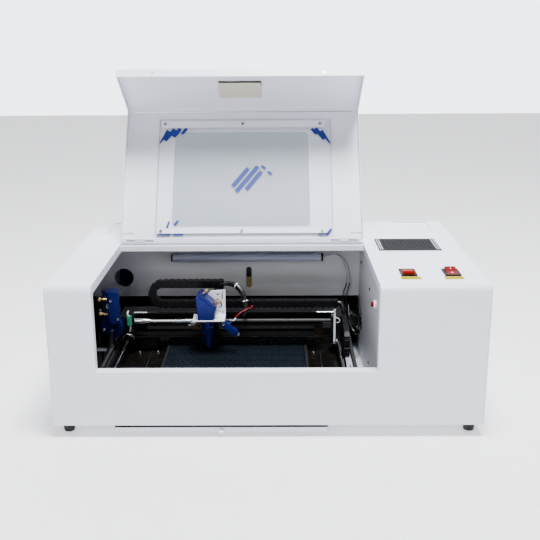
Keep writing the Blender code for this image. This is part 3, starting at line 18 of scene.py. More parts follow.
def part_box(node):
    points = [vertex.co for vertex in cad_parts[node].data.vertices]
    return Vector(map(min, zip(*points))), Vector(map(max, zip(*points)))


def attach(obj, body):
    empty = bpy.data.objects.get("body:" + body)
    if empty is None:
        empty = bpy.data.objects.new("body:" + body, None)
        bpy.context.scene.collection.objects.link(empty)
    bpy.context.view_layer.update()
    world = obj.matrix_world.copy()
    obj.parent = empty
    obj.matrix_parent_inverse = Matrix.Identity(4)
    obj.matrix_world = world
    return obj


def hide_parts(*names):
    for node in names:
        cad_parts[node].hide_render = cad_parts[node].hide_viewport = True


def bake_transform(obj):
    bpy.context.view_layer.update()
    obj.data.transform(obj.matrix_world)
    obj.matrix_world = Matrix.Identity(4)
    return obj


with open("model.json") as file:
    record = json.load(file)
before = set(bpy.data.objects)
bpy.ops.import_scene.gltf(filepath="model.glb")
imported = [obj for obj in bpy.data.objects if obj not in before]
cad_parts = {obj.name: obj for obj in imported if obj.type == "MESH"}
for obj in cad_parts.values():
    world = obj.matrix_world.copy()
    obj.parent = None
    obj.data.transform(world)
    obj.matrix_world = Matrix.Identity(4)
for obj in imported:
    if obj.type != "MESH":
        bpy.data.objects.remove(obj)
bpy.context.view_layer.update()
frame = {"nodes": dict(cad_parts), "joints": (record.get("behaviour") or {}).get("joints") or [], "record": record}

# %% [markdown]
# ## Where things are
#
# A maker measures a cabinet from its own faces: across from the middle, back from the
# front, up from the underside. `HOME` carries such a point to the frame of the model.
# The lid stands open, so what is fixed to it is laid out on the shut lid and then
# swung about the hinge by the joint's own range.

# %% Cabinet coordinates and the lid's swing
shell_low, shell_high = (np.array(corner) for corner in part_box("front_top_shell"))
HOME = np.array((0.0, shell_low[1], shell_low[2]))
TOP = float(shell_high[2] - HOME[2])
JOINTS = {joint["name"]: joint for joint in frame["joints"]}
HINGE = np.array(JOINTS["lid_hinge"]["pos_m"]) - HOME
OPEN_ANGLE = math.radians(JOINTS["lid_hinge"]["range_deg"][1])


def span(node):
    """A node's box in cabinet coordinates: lowest corner, highest corner."""
    low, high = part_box(node)
    return np.array(low) - HOME, np.array(high) - HOME


def swung(points):
    """Points of the shut lid turned about its hinge to the open lid.

    A turn about x by the angle a takes (y, z) to (y cos a + z sin a, z cos a - y sin a),
    both measured from the hinge.
    """
    points = np.array(points, float)
    y = points[..., 1] - HINGE[1]
    z = points[..., 2] - HINGE[2]
    cos, sin = math.cos(OPEN_ANGLE), math.sin(OPEN_ANGLE)
    points[..., 1] = HINGE[1] + y * cos + z * sin
    points[..., 2] = HINGE[2] - y * sin + z * cos
    return points


print("lid hinge at", HINGE.round(4), "open by", round(math.degrees(OPEN_ANGLE), 1), "degrees")

# %% [markdown]
# ## The camera
#
# The camera comes early, because everything is judged through it. It stands a little
# right of the middle and looks down on the machine by sixteen degrees.

# %% Camera
CAMERA_AT = (0.0170, -1.4853, 0.7389)
LOOK_DOWN, LOOK_LEFT, LEAN = math.radians(16.052), math.radians(0.4736), math.radians(-0.3417)
FOCAL_LENGTH, SENSOR_WIDTH = 56.38, 36.0
eye = bpy.data.cameras.new("camera")
eye.lens = FOCAL_LENGTH
eye.sensor_width = SENSOR_WIDTH
camera = bpy.data.objects.new("camera", eye)
bpy.context.scene.collection.objects.link(camera)
camera.matrix_world = (Matrix.Translation(Vector(CAMERA_AT) + Vector(HOME))
                       @ Matrix.Rotation(LOOK_LEFT, 4, "Z")
                       @ Matrix.Rotation(math.pi / 2 - LOOK_DOWN, 4, "X")
                       @ Matrix.Rotation(LEAN, 4, "Z"))
bpy.context.scene.camera = camera
print("camera at", tuple(round(value, 3) for value in camera.matrix_world.translation))

# %% [markdown]
# ## Shader maths as arithmetic
#
# A material is a small program. Wiring it by hand hides the sum that it works out, so
# a `Wire` wraps a socket and lets the sum be written as one: adding two wires adds a
# Math node. Every other node comes from `Finish.node`, which sets what kind of node it
# is first, and then its sockets.


# %% Wires and finishes
class Wire:
    """A shader socket that can be added, multiplied and compared like a number."""

    def __init__(self, finish, socket):
        self.finish = finish
        self.socket = socket

    def sum_of(self, operation, first, second=0.0):
        """A Math node on two values, either of which may be a plain number."""
        return self.finish.node("ShaderNodeMath", {"operation": operation}, {0: first, 1: second})

    def __add__(self, other):
        return self.sum_of("ADD", self, other)

    def __radd__(self, other):
        return self.sum_of("ADD", other, self)

    def __sub__(self, other):
        return self.sum_of("SUBTRACT", self, other)

    def __rsub__(self, other):
        return self.sum_of("SUBTRACT", other, self)

    def __mul__(self, other):
        return self.sum_of("MULTIPLY", self, other)

    def __rmul__(self, other):
        return self.sum_of("MULTIPLY", other, self)

    def __pow__(self, other):
        return self.sum_of("POWER", self, other)

    def __gt__(self, other):
        return self.sum_of("GREATER_THAN", self, other)

    def __lt__(self, other):
        return self.sum_of("LESS_THAN", self, other)

    def clipped(self):
        """The value held between nought and one."""
        return self.finish.node("ShaderNodeClamp", {}, {"Value": self})


class Finish:
    """One material: its Principled shader, and the nodes that feed it."""

    def __init__(self, name, **plain):
        self.material = bpy.data.materials.new(name)
        self.material.use_nodes = True
        self.tree = self.material.node_tree
        self.shader = self.tree.nodes["Principled BSDF"]
        self.feed(**plain)

    def node(self, kind, settings, values, output=0):
        """Any node: its settings first, then numbers, colours or links into its sockets."""
        made = self.tree.nodes.new(kind)
        for name, value in settings.items():
            if name == "stops":
                self.set_stops(made.color_ramp, value)
            else:
                setattr(made, name, value)
        for name, value in values.items():
            self.join(made.inputs[name], value)
        return Wire(self, made.outputs[output])

    def set_stops(self, ramp, stops):
        """Fill a colour ramp with (place, colour) stops."""
        while len(ramp.elements) < len(stops):
            ramp.elements.new(1.0)
        for element, (place, colour) in zip(ramp.elements, stops):
            element.position = place
            element.color = (*colour, 1.0)

    def join(self, socket, value):
        """Link a wire to a socket, or set a plain value on it."""
        if isinstance(value, Wire):
            self.tree.links.new(value.socket, socket)
        elif isinstance(value, tuple) and len(value) == 3 and len(socket.default_value) == 4:
            socket.default_value = (*value, 1.0)
        else:
            socket.default_value = value

    def feed(self, **values):
        """Give the Principled shader its inputs; base_color means Base Color."""
        for name, value in values.items():
            title = name.replace("_", " ").title().replace("Ior", "IOR")
            self.join(self.shader.inputs[title], value)
        if "base_color" in values and isinstance(values["base_color"], tuple):
            self.material.diffuse_color = (*values["base_color"], 1.0)

    def place(self):
        """The point on the piece, in metres."""
        return self.node("ShaderNodeTexCoord", {}, {}, "Object")

    def stretched(self, scale, turn=(0.0, 0.0, 0.0)):
        """The point on the piece with each axis scaled, for streaks and weaves."""
        return self.node("ShaderNodeMapping", {}, {"Vector": self.place(), "Scale": scale,
                                                   "Rotation": turn})

    def noise(self, scale, detail=2.0, place=None):
        """Soft cloudy variation from nought to one."""
        where = place or self.place()
        return self.node("ShaderNodeTexNoise", {}, {"Vector": where, "Scale": scale, "Detail": detail})

    def mix(self, factor, first, second):
        """A colour between two colours."""
        settings = {"data_type": "RGBA"}
        return self.node("ShaderNodeMix", settings, {0: factor, 6: first, 7: second}, 2)

    def bump(self, height, distance, strength=1.0):
        """A normal from a height, so many metres deep."""
        return self.node("ShaderNodeBump", {}, {"Height": height, "Distance": distance,
                                                "Strength": strength})


print("shader words ready")

# %% [markdown]
# ## Coated sheet metal
#
# Powder coat is a baked film, not a wet paint, so it keeps a very fine orange-peel
# texture that breaks up reflections. One noise gives that peel as a bump, and a much
# larger one lets the shine drift a little, as it does on a big folded sheet.


# %% Coated steel finishes
def powder_coat(name, colour, roughness, peel=0.00012, tint=0.96):
    """Coated steel: colour drifts by a few parts in a hundred, fine peel in the normal."""
    finish = Finish(name, metallic=0.0, specular_ior_level=0.45)
    drift = finish.noise(3.0, 3.0)
    darker = tuple(channel * tint for channel in colour)
    finish.feed(base_color=finish.mix(drift, darker, colour),
                roughness=roughness - 0.05 + drift * 0.10,
                normal=finish.bump(finish.noise(900.0, 1.0), peel, 0.5))
    finish.material.diffuse_color = (*colour, 1.0)
    return finish.material


def dust_and_sheen_coat(name, colour, roughness, dust_and_sheen):
    """Black coated steel with pale soft patches that dull the shine: dust, and on some plates a painted sheen."""
    finish = Finish(name, specular_ior_level=0.28)
    patches = (finish.noise(38.0, 5.0) - 0.45) * 2.2
    specks = finish.noise(1600.0, 1.0) > 0.66
    amount = (patches.clipped() * 0.45 + specks * 0.08).clipped()
    finish.feed(base_color=finish.mix(amount, colour, dust_and_sheen),
                roughness=roughness + amount * 0.25,
                normal=finish.bump(finish.noise(1100.0, 1.0), 0.00008, 0.5))
    finish.material.diffuse_color = (*colour, 1.0)
    return finish.material


WHITE_COAT = powder_coat("white_powder_coat", (0.80, 0.812, 0.90), 0.36)
LID_COAT = powder_coat("lid_powder_coat", (0.79, 0.802, 0.89), 0.34, peel=0.0003)
GREY_COAT = powder_coat("light_grey_coat", (0.60, 0.605, 0.64), 0.42)
BRACKET_COAT = powder_coat("bracket_coat", (0.13, 0.13, 0.145), 0.42)
BLACK_COAT = dust_and_sheen_coat("black_coated_steel", (0.003, 0.003, 0.0035), 0.32, (0.010, 0.009, 0.009))
# The deck's brownish patches are dust and also a painted brown reflection.
DECK_COAT = dust_and_sheen_coat("deck_coat", (0.0030, 0.0026, 0.0023), 0.22, (0.013, 0.010, 0.008))
print("coats:", WHITE_COAT.name, LID_COAT.name, GREY_COAT.name, BLACK_COAT.name, DECK_COAT.name)

# %% [markdown]
# ## Plastics and rubber
#
# Moulded plastic carries the grain that was etched into its mould, and rubber is
# duller and slightly dusty. Both are a base colour with a fine bump; what tells them
# apart is roughness. The lit rocker glows a little, because it has a neon lamp inside.


# %% Plastic and rubber finishes
def moulded(name, colour, roughness, grain=1400.0, depth=0.00006, shine=0.5):
    """Moulded plastic: etched grain in the normal, and a slightly uneven shine."""
    finish = Finish(name, specular_ior_level=shine)
    etched = finish.noise(grain, 2.0)
    finish.feed(base_color=finish.mix(finish.noise(25.0, 3.0), tuple(0.88 * c for c in colour), colour),
                roughness=roughness - 0.04 + etched * 0.10,
                normal=finish.bump(etched, depth, 0.6))
    finish.material.diffuse_color = (*colour, 1.0)
    return finish.material


def lit_plastic(name, colour, glow, strength, roughness=0.22):
    """Clear coloured plastic that glows, brighter and darker in soft patches; with no lamp behind it the glow is
    painted light.
    """
    finish = Finish(name, specular_ior_level=0.06, emission_strength=strength)
    warm = finish.noise(70.0, 2.0)
    finish.feed(base_color=finish.mix(warm, colour, tuple(0.7 * c for c in colour)),
                roughness=roughness, emission_color=finish.mix(warm, glow, colour))
    finish.material.diffuse_color = (*colour, 1.0)
    return finish.material


BLACK_PLASTIC = moulded("black_plastic", (0.003, 0.003, 0.0035), 0.50, 1400.0, 0.00006, 0.10)
CHAIN_PLASTIC = moulded("chain_plastic", (0.0025, 0.0025, 0.003), 0.36, 900.0, 0.00006, 0.12)
RUBBER = moulded("black_rubber", (0.016, 0.016, 0.016), 0.72, 700.0, 0.00015)
BELT_RUBBER = moulded("belt_rubber", (0.012, 0.012, 0.012), 0.60, 600.0, 0.00010)
CREAM = moulded("cream_plastic", (0.63, 0.58, 0.47), 0.55, 500.0, 0.00010)
LABEL = moulded("yellow_label", (0.36, 0.285, 0.0), 0.70, 300.0, 0.00003, 0.03)
WIRE_WHITE = moulded("white_insulation", (0.30, 0.30, 0.33), 0.40)
WIRE_BLACK = moulded("black_insulation", (0.003, 0.003, 0.0035), 0.24, 900.0, 0.00003, 0.45)
WIRE_RED = moulded("red_insulation", (0.36, 0.015, 0.02), 0.42)
WIRE_GREEN = moulded("green_connector", (0.01, 0.26, 0.14), 0.40)
CLEAR_CLIP = moulded("pale_clip", (0.75, 0.77, 0.78), 0.30)
FILM_BLUE = moulded("film_blue", (0.002, 0.022, 0.22), 0.45, 400.0, 0.00002, 0.3)
RED_LIT = lit_plastic("red_plastic_lit", (0.22, 0.003, 0.001), (1.0, 0.05, 0.005), 0.35, 0.5)
# Painted glow: the light-switch rocker has no lamp, yet this finish glows faintly; the test button uses it too.
RED_DARK = lit_plastic("red_plastic", (0.17, 0.001, 0.002), (0.6, 0.01, 0.01), 0.06, 0.5)
print("plastics and rubber:", len(bpy.data.materials), "finishes so far")

# %% [markdown]
# ## Bare and anodised metal
#
# Ground rods have marks round them, cut parts have marks along them. Squeezing a
# noise along one axis draws either. Anodising leaves the metal under a dyed skin, so
# it stays metallic, with a coloured base. The rod that the head slides on is bright at
# its left end, and painted shade makes it darker and duller further on, so its finish changes along x.


# %% Metal finishes
def worked_metal(name, colour, roughness, streaks=(400.0, 400.0, 400.0), depth=0.00002):
    """Machined metal: stretched noise marks the surface along the axis of low scale."""
    finish = Finish(name, metallic=1.0)
    marks = finish.noise(1.0, 3.0, finish.stretched(streaks))
    finish.feed(base_color=finish.mix(marks, tuple(0.80 * c for c in colour), colour),
                roughness=roughness - 0.05 + marks * 0.14,
                normal=finish.bump(marks, depth, 0.5))
    finish.material.diffuse_color = (*colour, 1.0)
    return finish.material


def anodised(name, colour, roughness):
    """Dyed aluminium: part metal, part dye, with a fine satin grain."""
    finish = Finish(name, metallic=0.55, specular_ior_level=0.35, coat_weight=0.08, coat_roughness=0.20)
    satin = finish.noise(1300.0, 2.0)
    drift = finish.noise(45.0, 2.0)
    finish.feed(base_color=finish.mix(drift, tuple(0.72 * c for c in colour), colour),
                roughness=roughness + satin * 0.10,
                normal=finish.bump(satin, 0.00004, 0.5))
    finish.material.diffuse_color = (*colour, 1.0)
    return finish.material


def shaded_rod(name, lit_colour, shaded_colour, start, end):
    """A ground rod with painted shade along x: bright before start, dark after end.

    The share of painted shade is (x - start) / (end - start), held between nought and one.
    """
    finish = Finish(name, metallic=1.0)
    x = finish.node("ShaderNodeSeparateXYZ", {}, {"Vector": finish.place()}, "X")
    marks = finish.noise(1.0, 3.0, finish.stretched((90.0, 1500.0, 1500.0)))
    shade_share = ((x - start) * (1.0 / (end - start))).clipped() * (0.85 + marks * 0.15)
    finish.feed(base_color=finish.mix(shade_share, lit_colour, shaded_colour), roughness=0.10 + shade_share * 0.58 + marks * 0.06,
                normal=finish.bump(marks, 0.00002, 0.5))
    finish.material.diffuse_color = (*lit_colour, 1.0)
    return finish.material


CHROME = worked_metal("chromed_steel", (0.83, 0.83, 0.85), 0.12, (90.0, 1500.0, 1500.0))
CHROME_ALONG = worked_metal("chromed_steel_y", (0.83, 0.83, 0.85), 0.12, (1500.0, 90.0, 1500.0))
STEEL = worked_metal("steel", (0.52, 0.53, 0.55), 0.30)
SCREW_STEEL = worked_metal("screw_steel", (0.42, 0.42, 0.43), 0.26)
# Painted shade: the guide rod is painted darker and duller from x -0.195 on, fully so past -0.135.
SHADED_ROD = shaded_rod("chromed_steel_oiled", (0.83, 0.83, 0.85), (0.010, 0.010, 0.011), -0.195, -0.135)
BRIGHT_STEEL = worked_metal("bright_steel", (0.82, 0.82, 0.82), 0.22)
BRASS = worked_metal("brass", (0.72, 0.47, 0.20), 0.26)
BRONZE = worked_metal("bronze_block", (0.23, 0.13, 0.07), 0.36)
BLUE = anodised("blue_anodised", (0.003, 0.010, 0.15), 0.30)
BLUE_LIGHT = anodised("blue_anodised_face", (0.004, 0.020, 0.24), 0.28)
BLUE_DARK = anodised("blue_anodised_dark", (0.002, 0.006, 0.10), 0.22)
HONEYCOMB = worked_metal("honeycomb_metal", (0.060, 0.082, 0.115), 0.42, (300.0, 300.0, 40.0))
print("metals ready")

# %% [markdown]
# ## Clear sheet, board and floor
#
# A clear sheet that lies on white metal is seen mostly by its shine and by a faint
# tint, so it is a glossy pale surface that lets most of what is behind it through. The
# lamp's frosted cover, the circuit board and the floor are made here as well. The floor
# glows faintly, which keeps it pale right to the horizon.


# %% Clear finishes, board and floor paint
def clear_sheet(name, colour, alpha, roughness=0.08):
    """Clear plastic or glass: glossy, tinted, and mostly see-through."""
    finish = Finish(name, ior=1.49, specular_ior_level=0.2)
    haze = finish.noise(14.0, 4.0)
    finish.feed(base_color=finish.mix(haze, tuple(0.94 * c for c in colour), colour),
                alpha=alpha - 0.05 + haze * 0.10, roughness=roughness)
    finish.material.diffuse_color = (*colour, alpha)
    return finish.material


TUBE_GLASS = clear_sheet("tube_glass", (0.62, 0.50, 0.28), 0.80)
DIFFUSER = moulded("lamp_diffuser", (0.42, 0.43, 0.58), 0.30, 300.0, 0.00002)
BOARD = moulded("circuit_board", (0.015, 0.13, 0.045), 0.35)
FLOOR_PAINT = moulded("pale_floor", (0.93, 0.93, 0.93), 0.60, 300.0, 0.00002, 0.2)
FLOOR_GLOW = 0.5
floor_sockets = FLOOR_PAINT.node_tree.nodes["Principled BSDF"].inputs
floor_sockets["Emission Strength"].default_value = FLOOR_GLOW
floor_sockets["Emission Color"].default_value = (1.0, 1.0, 1.0, 1.0)
print("finishes in all:", len(bpy.data.materials))

# %% [markdown]
# ## Making meshes from arrays
#
# A shape here is a pair: an array of points and a list of faces. Three rules make
# nearly all of them. A profile turned about an axis gives knobs, screws and tubes. An
# outline pushed along an axis gives plates. A ring carried along a path gives wires.


# %% Shapes as arrays
def grid_faces(rows, columns, wrap=False):
    """Quads of a grid of points: point (i, j) is number i times columns plus j."""
    row = np.arange(rows - 1)[:, None]
    column = np.arange(columns if wrap else columns - 1)[None, :]
    beside = (column + 1) % columns
    corners = (row * columns + column, row * columns + beside,
               (row + 1) * columns + beside, (row + 1) * columns + column)
    return np.stack(np.broadcast_arrays(*corners), axis=-1).reshape(-1, 4).tolist()


def turned(profile, sides=24):
    """A profile of (radius, height) turned about z: x is r cos t, y is r sin t."""
    profile = np.array(profile, float)
    turn = np.linspace(0.0, 2 * math.pi, sides, endpoint=False)
    radius = np.maximum(profile[:, :1], 1e-7)
    points = np.stack((radius * np.cos(turn), radius * np.sin(turn),
                       np.broadcast_to(profile[:, 1:], (len(profile), sides))), axis=-1)
    faces = grid_faces(len(profile), sides, wrap=True)
    ends = [list(range(sides))[::-1], list(range((len(profile) - 1) * sides, len(profile) * sides))]
    return points.reshape(-1, 3), faces + ends


def plate(outline, low, high):
    """A flat outline of (x, y) points pushed up z from low to high, with both ends shut."""
    outline = np.array(outline, float)
    count = len(outline)
    levels = np.repeat((low, high), count)[:, None]
    points = np.hstack((np.tile(outline, (2, 1)), levels))
    ends = [list(range(count))[::-1], list(range(count, 2 * count))]
    return points, grid_faces(2, count, wrap=True) + ends


def box(low, high):
    """A block between two corners."""
    (x0, y0, z0), (x1, y1, z1) = low, high
    return plate([(x0, y0), (x1, y0), (x1, y1), (x0, y1)], z0, z1)


def rounded(width, height, radius, centre=(0.0, 0.0), steps=5):
    """The outline of a rectangle whose corners are quarter circles."""
    half = np.array((width / 2 - radius, height / 2 - radius))
    signs = np.array(((1, 1), (-1, 1), (-1, -1), (1, -1)), float)
    turn = np.linspace(0.0, math.pi / 2, steps)
    start = np.arange(4)[:, None] * math.pi / 2
    circle = np.stack((np.cos(start + turn), np.sin(start + turn)), axis=-1) * radius
    return (circle + (signs * half)[:, None, :]).reshape(-1, 2) + np.array(centre)


def hose(path, radius, sides=10):
    """A round tube along a path: each ring lies across the path's direction there.

    The rings are lined up by the direction that the path runs along least.
    """
    path = np.array(path, float)
    along = np.gradient(path, axis=0)
    along /= np.linalg.norm(along, axis=1, keepdims=True)
    least = np.linalg.svd(along)[2][-1]
    across = np.cross(along, least)
    across /= np.linalg.norm(across, axis=1, keepdims=True)
    upward = np.cross(across, along)
    turn = np.linspace(0.0, 2 * math.pi, sides, endpoint=False)[None, :, None]
    ring = np.cos(turn) * across[:, None, :] + np.sin(turn) * upward[:, None, :]
    size = np.broadcast_to(np.asarray(radius, float), (len(path),))[:, None, None]
    points = (path[:, None, :] + ring * size).reshape(-1, 3)
    ends = [list(range(sides)), list(range((len(path) - 1) * sides, len(path) * sides))[::-1]]
    return points, grid_faces(len(path), sides, wrap=True) + ends


def smooth_path(points, per_span=8):
    """A Catmull-Rom curve through points: each span is a cubic of its four neighbours."""
    knots = np.array(points, float)
    knots = np.vstack((2 * knots[0] - knots[1], knots, 2 * knots[-1] - knots[-2]))
    t = np.linspace(0.0, 1.0, per_span, endpoint=False)[None, :, None]
    before, start, end, after = (knots[k:len(knots) - 3 + k][:, None, :] for k in range(4))
    curve = 0.5 * (2 * start + (end - before) * t
                   + (2 * before - 5 * start + 4 * end - after) * t ** 2
                   + (3 * start - before - 3 * end + after) * t ** 3)
    return np.vstack((curve.reshape(-1, 3), knots[-2]))


def aimed(shape, at, towards=(0.0, 0.0, 1.0), roll=0.0):
    """A shape whose z axis is pointed along a direction, and whose origin is put at a point."""
    turn = Vector(towards).to_track_quat("Z", "Y").to_matrix() @ Matrix.Rotation(roll, 3, "Z")
    points, faces = shape
    return np.array(points) @ np.array(turn).T + np.array(at), faces


def stood_up(shape):
    """A flat shape stood on its edge: the point (x, y, z) goes to (x, z, -y)."""
    points, faces = shape
    return np.array(points)[:, (0, 2, 1)] * np.array((1.0, 1.0, -1.0)), faces


def length_of(path):
    """A path's length: the sum of the distances from each point to the next."""
    return float(np.linalg.norm(np.diff(np.array(path, float), axis=0), axis=1).sum())


def gathered(*shapes):
    """Several shapes as one."""
    points, faces, count = [], [], 0
    for more_points, more_faces in shapes:
        points.append(np.array(more_points, float))
        faces += [[corner + count for corner in face] for face in more_faces]
        count += len(more_points)
    return np.vstack(points), faces


print("shape rules:", ", ".join(f.__name__ for f in (turned, plate, box, hose, aimed, gathered)))

# %% [markdown]
# ## From a shape to a piece
#
# A piece is a mesh with a finish and a body that it rides on. Its edges get a small
# bevel, because no real edge is perfectly sharp and the highlight along it is what makes
# metal look like metal.


# %% Pieces
def piece(name, shape, finish, body, bevel=0.0, on_lid=False, smooth_deg=35.0):
    """A new object from a shape in cabinet coordinates, riding on a body."""
    points, faces = shape
    points = swung(points) if on_lid else np.array(points, float)
    mesh = bpy.data.meshes.new(name)
    mesh.from_pydata((points + HOME).tolist(), [], faces)
    work = bmesh.new()
    work.from_mesh(mesh)
    bmesh.ops.remove_doubles(work, verts=work.verts, dist=2e-7)
    bmesh.ops.recalc_face_normals(work, faces=work.faces)
    work.to_mesh(mesh)
    work.free()
    return finished(name, mesh, finish, body, bevel, smooth_deg)


def finished(name, mesh, finish, body, bevel, smooth_deg):
    """Link a mesh as a piece: finish, smooth shading, bevelled edges and body."""
    mesh.materials.clear()
    mesh.materials.append(finish)
    mesh.shade_smooth()
    mesh.set_sharp_from_angle(angle=math.radians(smooth_deg))
    made = bpy.data.objects.new(name, mesh)
    bpy.context.scene.collection.objects.link(made)
    if bevel:
        edge = made.modifiers.new("worn edge", "BEVEL")
        edge.width = bevel
        edge.segments = 2
        edge.limit_method = "ANGLE"
        edge.angle_limit = math.radians(smooth_deg)
        edge.harden_normals = True
    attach(made, body)
    return made


# %% [markdown]
# ## Giving the machined and folded pieces their edges
#
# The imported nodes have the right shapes, but knife edges. Each one is copied, its
# loose triangles are welded and its flat faces made whole again, and the copy gets the
# bevel and the finish. The copy then stands for the node.


# %% Nodes with softened edges
NODE_BODY = {node: body for body, names in frame["record"]["behaviour"]["bodies"].items() for node in names}


def softened(node, finish, bevel=0.0003, smooth_deg=35.0):
    """A welded copy of a node with bevelled edges, which stands for the node."""
    mesh = frame["nodes"][node].data.copy()
    work = bmesh.new()
    work.from_mesh(mesh)
    bmesh.ops.remove_doubles(work, verts=work.verts, dist=1e-6)
    bmesh.ops.dissolve_limit(work, angle_limit=math.radians(0.4), verts=work.verts, edges=work.edges)
    work.to_mesh(mesh)
    work.free()
    made = finished(f"{node}_finished", mesh, finish, NODE_BODY[node], bevel, smooth_deg)
    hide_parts(node)
    return made


SOFTENED = {
    "front_top_shell": (WHITE_COAT, 0.0004), "left_side_panel": (WHITE_COAT, 0.0004),
    "right_side_panel": (WHITE_COAT, 0.0004), "rear_panel": (WHITE_COAT, 0.0004),
    "bottom_pan": (WHITE_COAT, 0.0003), "rear_partition": (GREY_COAT, 0.0003),
    "right_partition": (GREY_COAT, 0.0003), "rear_hatch": (WHITE_COAT, 0.0004),
    "lid_shell": (LID_COAT, 0.0004), "lid_pad": (CREAM, 0.0006),
    "lid_hinge_left": (WHITE_COAT, 0.0002), "lid_hinge_right": (WHITE_COAT, 0.0002),
    "hatch_hinge_rod": (STEEL, 0.0002), "waste_tray": (WHITE_COAT, 0.0003), "tray_knob": (CHROME, 0.0002),
    "main_switch_body": (BLACK_PLASTIC, 0.0006), "light_switch_body": (BLACK_PLASTIC, 0.0006),
    "main_switch_rocker": (RED_LIT, 0.0006), "light_switch_rocker": (RED_DARK, 0.0006),
    "test_button_body": (WHITE_COAT, 0.0004), "test_button": (RED_DARK, 0.0006),
    "chassis_frame": (DECK_COAT, 0.0003), "y_motor": (BLACK_COAT, 0.0010), "x_motor": (BLACK_COAT, 0.0010),
    "gantry_beam": (BLACK_COAT, 0.0004),
    "lens_tube": (BLUE, 0.0003), "laser_pointer": (BLUE_LIGHT, 0.0006),
    "first_mirror_mount": (BLUE_DARK, 0.0005),
    "tube_cradle_left": (CREAM, 0.0010), "tube_cradle_right": (CREAM, 0.0010),
    "high_voltage_supply": (STEEL, 0.0010), "controller_board": (BOARD, 0.0002),
    "fan_housing": (BLACK_PLASTIC, 0.0005), "fan_rotor": (BLACK_PLASTIC, 0.0003),
    "power_inlet": (BLACK_PLASTIC, 0.0005), "laser_tube": (TUBE_GLASS, 0.0010),
    "y_drive_shaft": (STEEL, 0.0003),
    "y_rod_left": (CHROME_ALONG, 0.0004), "y_rod_right": (CHROME_ALONG, 0.0004),
    "x_guide_rod": (SHADED_ROD, 0.0004), "second_mirror_mount": (BLUE_DARK, 0.0005),
    "third_mirror_mount": (BLUE, 0.0005), "x_belt": (BELT_RUBBER, 0.0002),
    "y_belt_left": (BELT_RUBBER, 0.0002), "y_belt_right": (BELT_RUBBER, 0.0002),
    "foot_front_left": (RUBBER, 0.0006), "foot_front_right": (RUBBER, 0.0006),
    "foot_rear_left": (RUBBER, 0.0006), "foot_rear_right": (RUBBER, 0.0006),
}
for node, (finish, width) in SOFTENED.items():
    softened(node, finish, width)
print(len(SOFTENED), "nodes softened")

# %% [markdown]
# ## Screws and repeats
#
# Small screws are everywhere on sheet metal. One profile turned about its axis gives a
# domed head with a sunk recess, and a list of places gives all of them in one mesh.


# %% Screw heads and repeated shapes
def repeated(shape, offsets):
    """One shape at many offsets: every point plus every offset, as one array."""
    points, faces = shape
    offsets = np.array(offsets, float)
    moved = (offsets[:, None, :] + np.array(points)[None, :, :]).reshape(-1, 3)
    shifts = range(0, len(moved), len(points))
    return moved, [[corner + shift for corner in face] for shift in shifts for face in faces]


def screw(radius, height=None, sides=14):
    """A domed head with a sunk middle: a profile of radius against height, turned."""
    height = height or radius * 0.55
    return turned([(radius, -0.2 * height), (radius, 0.45 * height), (0.80 * radius, height),
                   (0.42 * radius, height), (0.34 * radius, 0.45 * height), (0.0, 0.35 * height)], sides)


def screws(name, places, towards, radius, finish, body, on_lid=False):
    """A row of screw heads facing one way, as one piece."""
    head = aimed(screw(radius), (0.0, 0.0, 0.0), towards)
    return piece(name, repeated(head, places), finish, body, on_lid=on_lid, smooth_deg=40.0)


def thumbscrew(head, neck, length, sides=16):
    """A turned thumbscrew: thread, narrow neck, then a wide rimmed head."""
    return turned([(0.55 * neck, 0.0), (neck, 0.0), (neck, 0.45 * length), (0.6 * neck, 0.5 * length),
                   (0.6 * neck, 0.66 * length), (head, 0.74 * length), (head, 0.94 * length),
                   (0.72 * head, length), (0.0, length)], sides)


print("one screw head has", len(screw(0.003)[1]), "faces")

# %% [markdown]
# ## The window in the lid
#
# The viewing window is a clear sheet clamped under two bars. Where it lies on the white
# lid it hardly shows. Over the opening it looks blue-grey against what is behind it, so a
# thin blue-grey film there paints that shade in, and the sheet stays clear.
# Places on the lid are given by x and by s, the distance forward from the hinge.

# %% Window sheet, painted shade over the opening and clamp bars
UNDERSIDE = 0.2785
SHEET_FACE = 0.2752
BAR_FACE = 0.2724
OPENING_S, SHEET_S = (0.032, 0.266), (0.009, 0.298)
OPENING_X = (-0.2165, 0.092)
hinge_y = float(HINGE[1])
sheet_x = (float(span("lid_window")[0][0]), float(span("lid_window")[1][0]))

CLEAR_SHEET = clear_sheet("clear_acrylic_sheet", (0.80, 0.82, 0.86), 0.13, 0.35)
OPENING_SHADE = clear_sheet("clear_acrylic_tint", (0.28, 0.35, 0.44), 0.66, 0.45)
sheet_middle = (sum(sheet_x) / 2, hinge_y - sum(SHEET_S) / 2)
outline = rounded(sheet_x[1] - sheet_x[0], SHEET_S[1] - SHEET_S[0], 0.002, sheet_middle)
sheet = piece("window_sheet", plate(outline, SHEET_FACE, UNDERSIDE - 0.0003), CLEAR_SHEET,
              "lid", on_lid=True)
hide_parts("lid_window")
opening = rounded(OPENING_X[1] - OPENING_X[0] - 0.001, OPENING_S[1] - OPENING_S[0] - 0.001, 0.010,
                  (sum(OPENING_X) / 2, hinge_y - sum(OPENING_S) / 2))
# Painted shade: a see-through blue-grey film over the opening gives the clear sheet its darker look there.
piece("window_tint", plate(opening, UNDERSIDE + 0.0002, UNDERSIDE + 0.0008), OPENING_SHADE,
      "lid", on_lid=True)
EDGE_GREY = clear_sheet("sheet_edge", (0.36, 0.38, 0.42), 0.95, 0.2)
edge_lines = gathered(*[box((x, hinge_y - SHEET_S[1], SHEET_FACE),
                            (x + 0.0012, hinge_y - SHEET_S[0], SHEET_FACE + 0.002))
                        for x in (sheet_x[0] - 0.0013, sheet_x[1] + 0.0001)])
piece("window_sheet_edges", edge_lines, EDGE_GREY, "lid", on_lid=True)

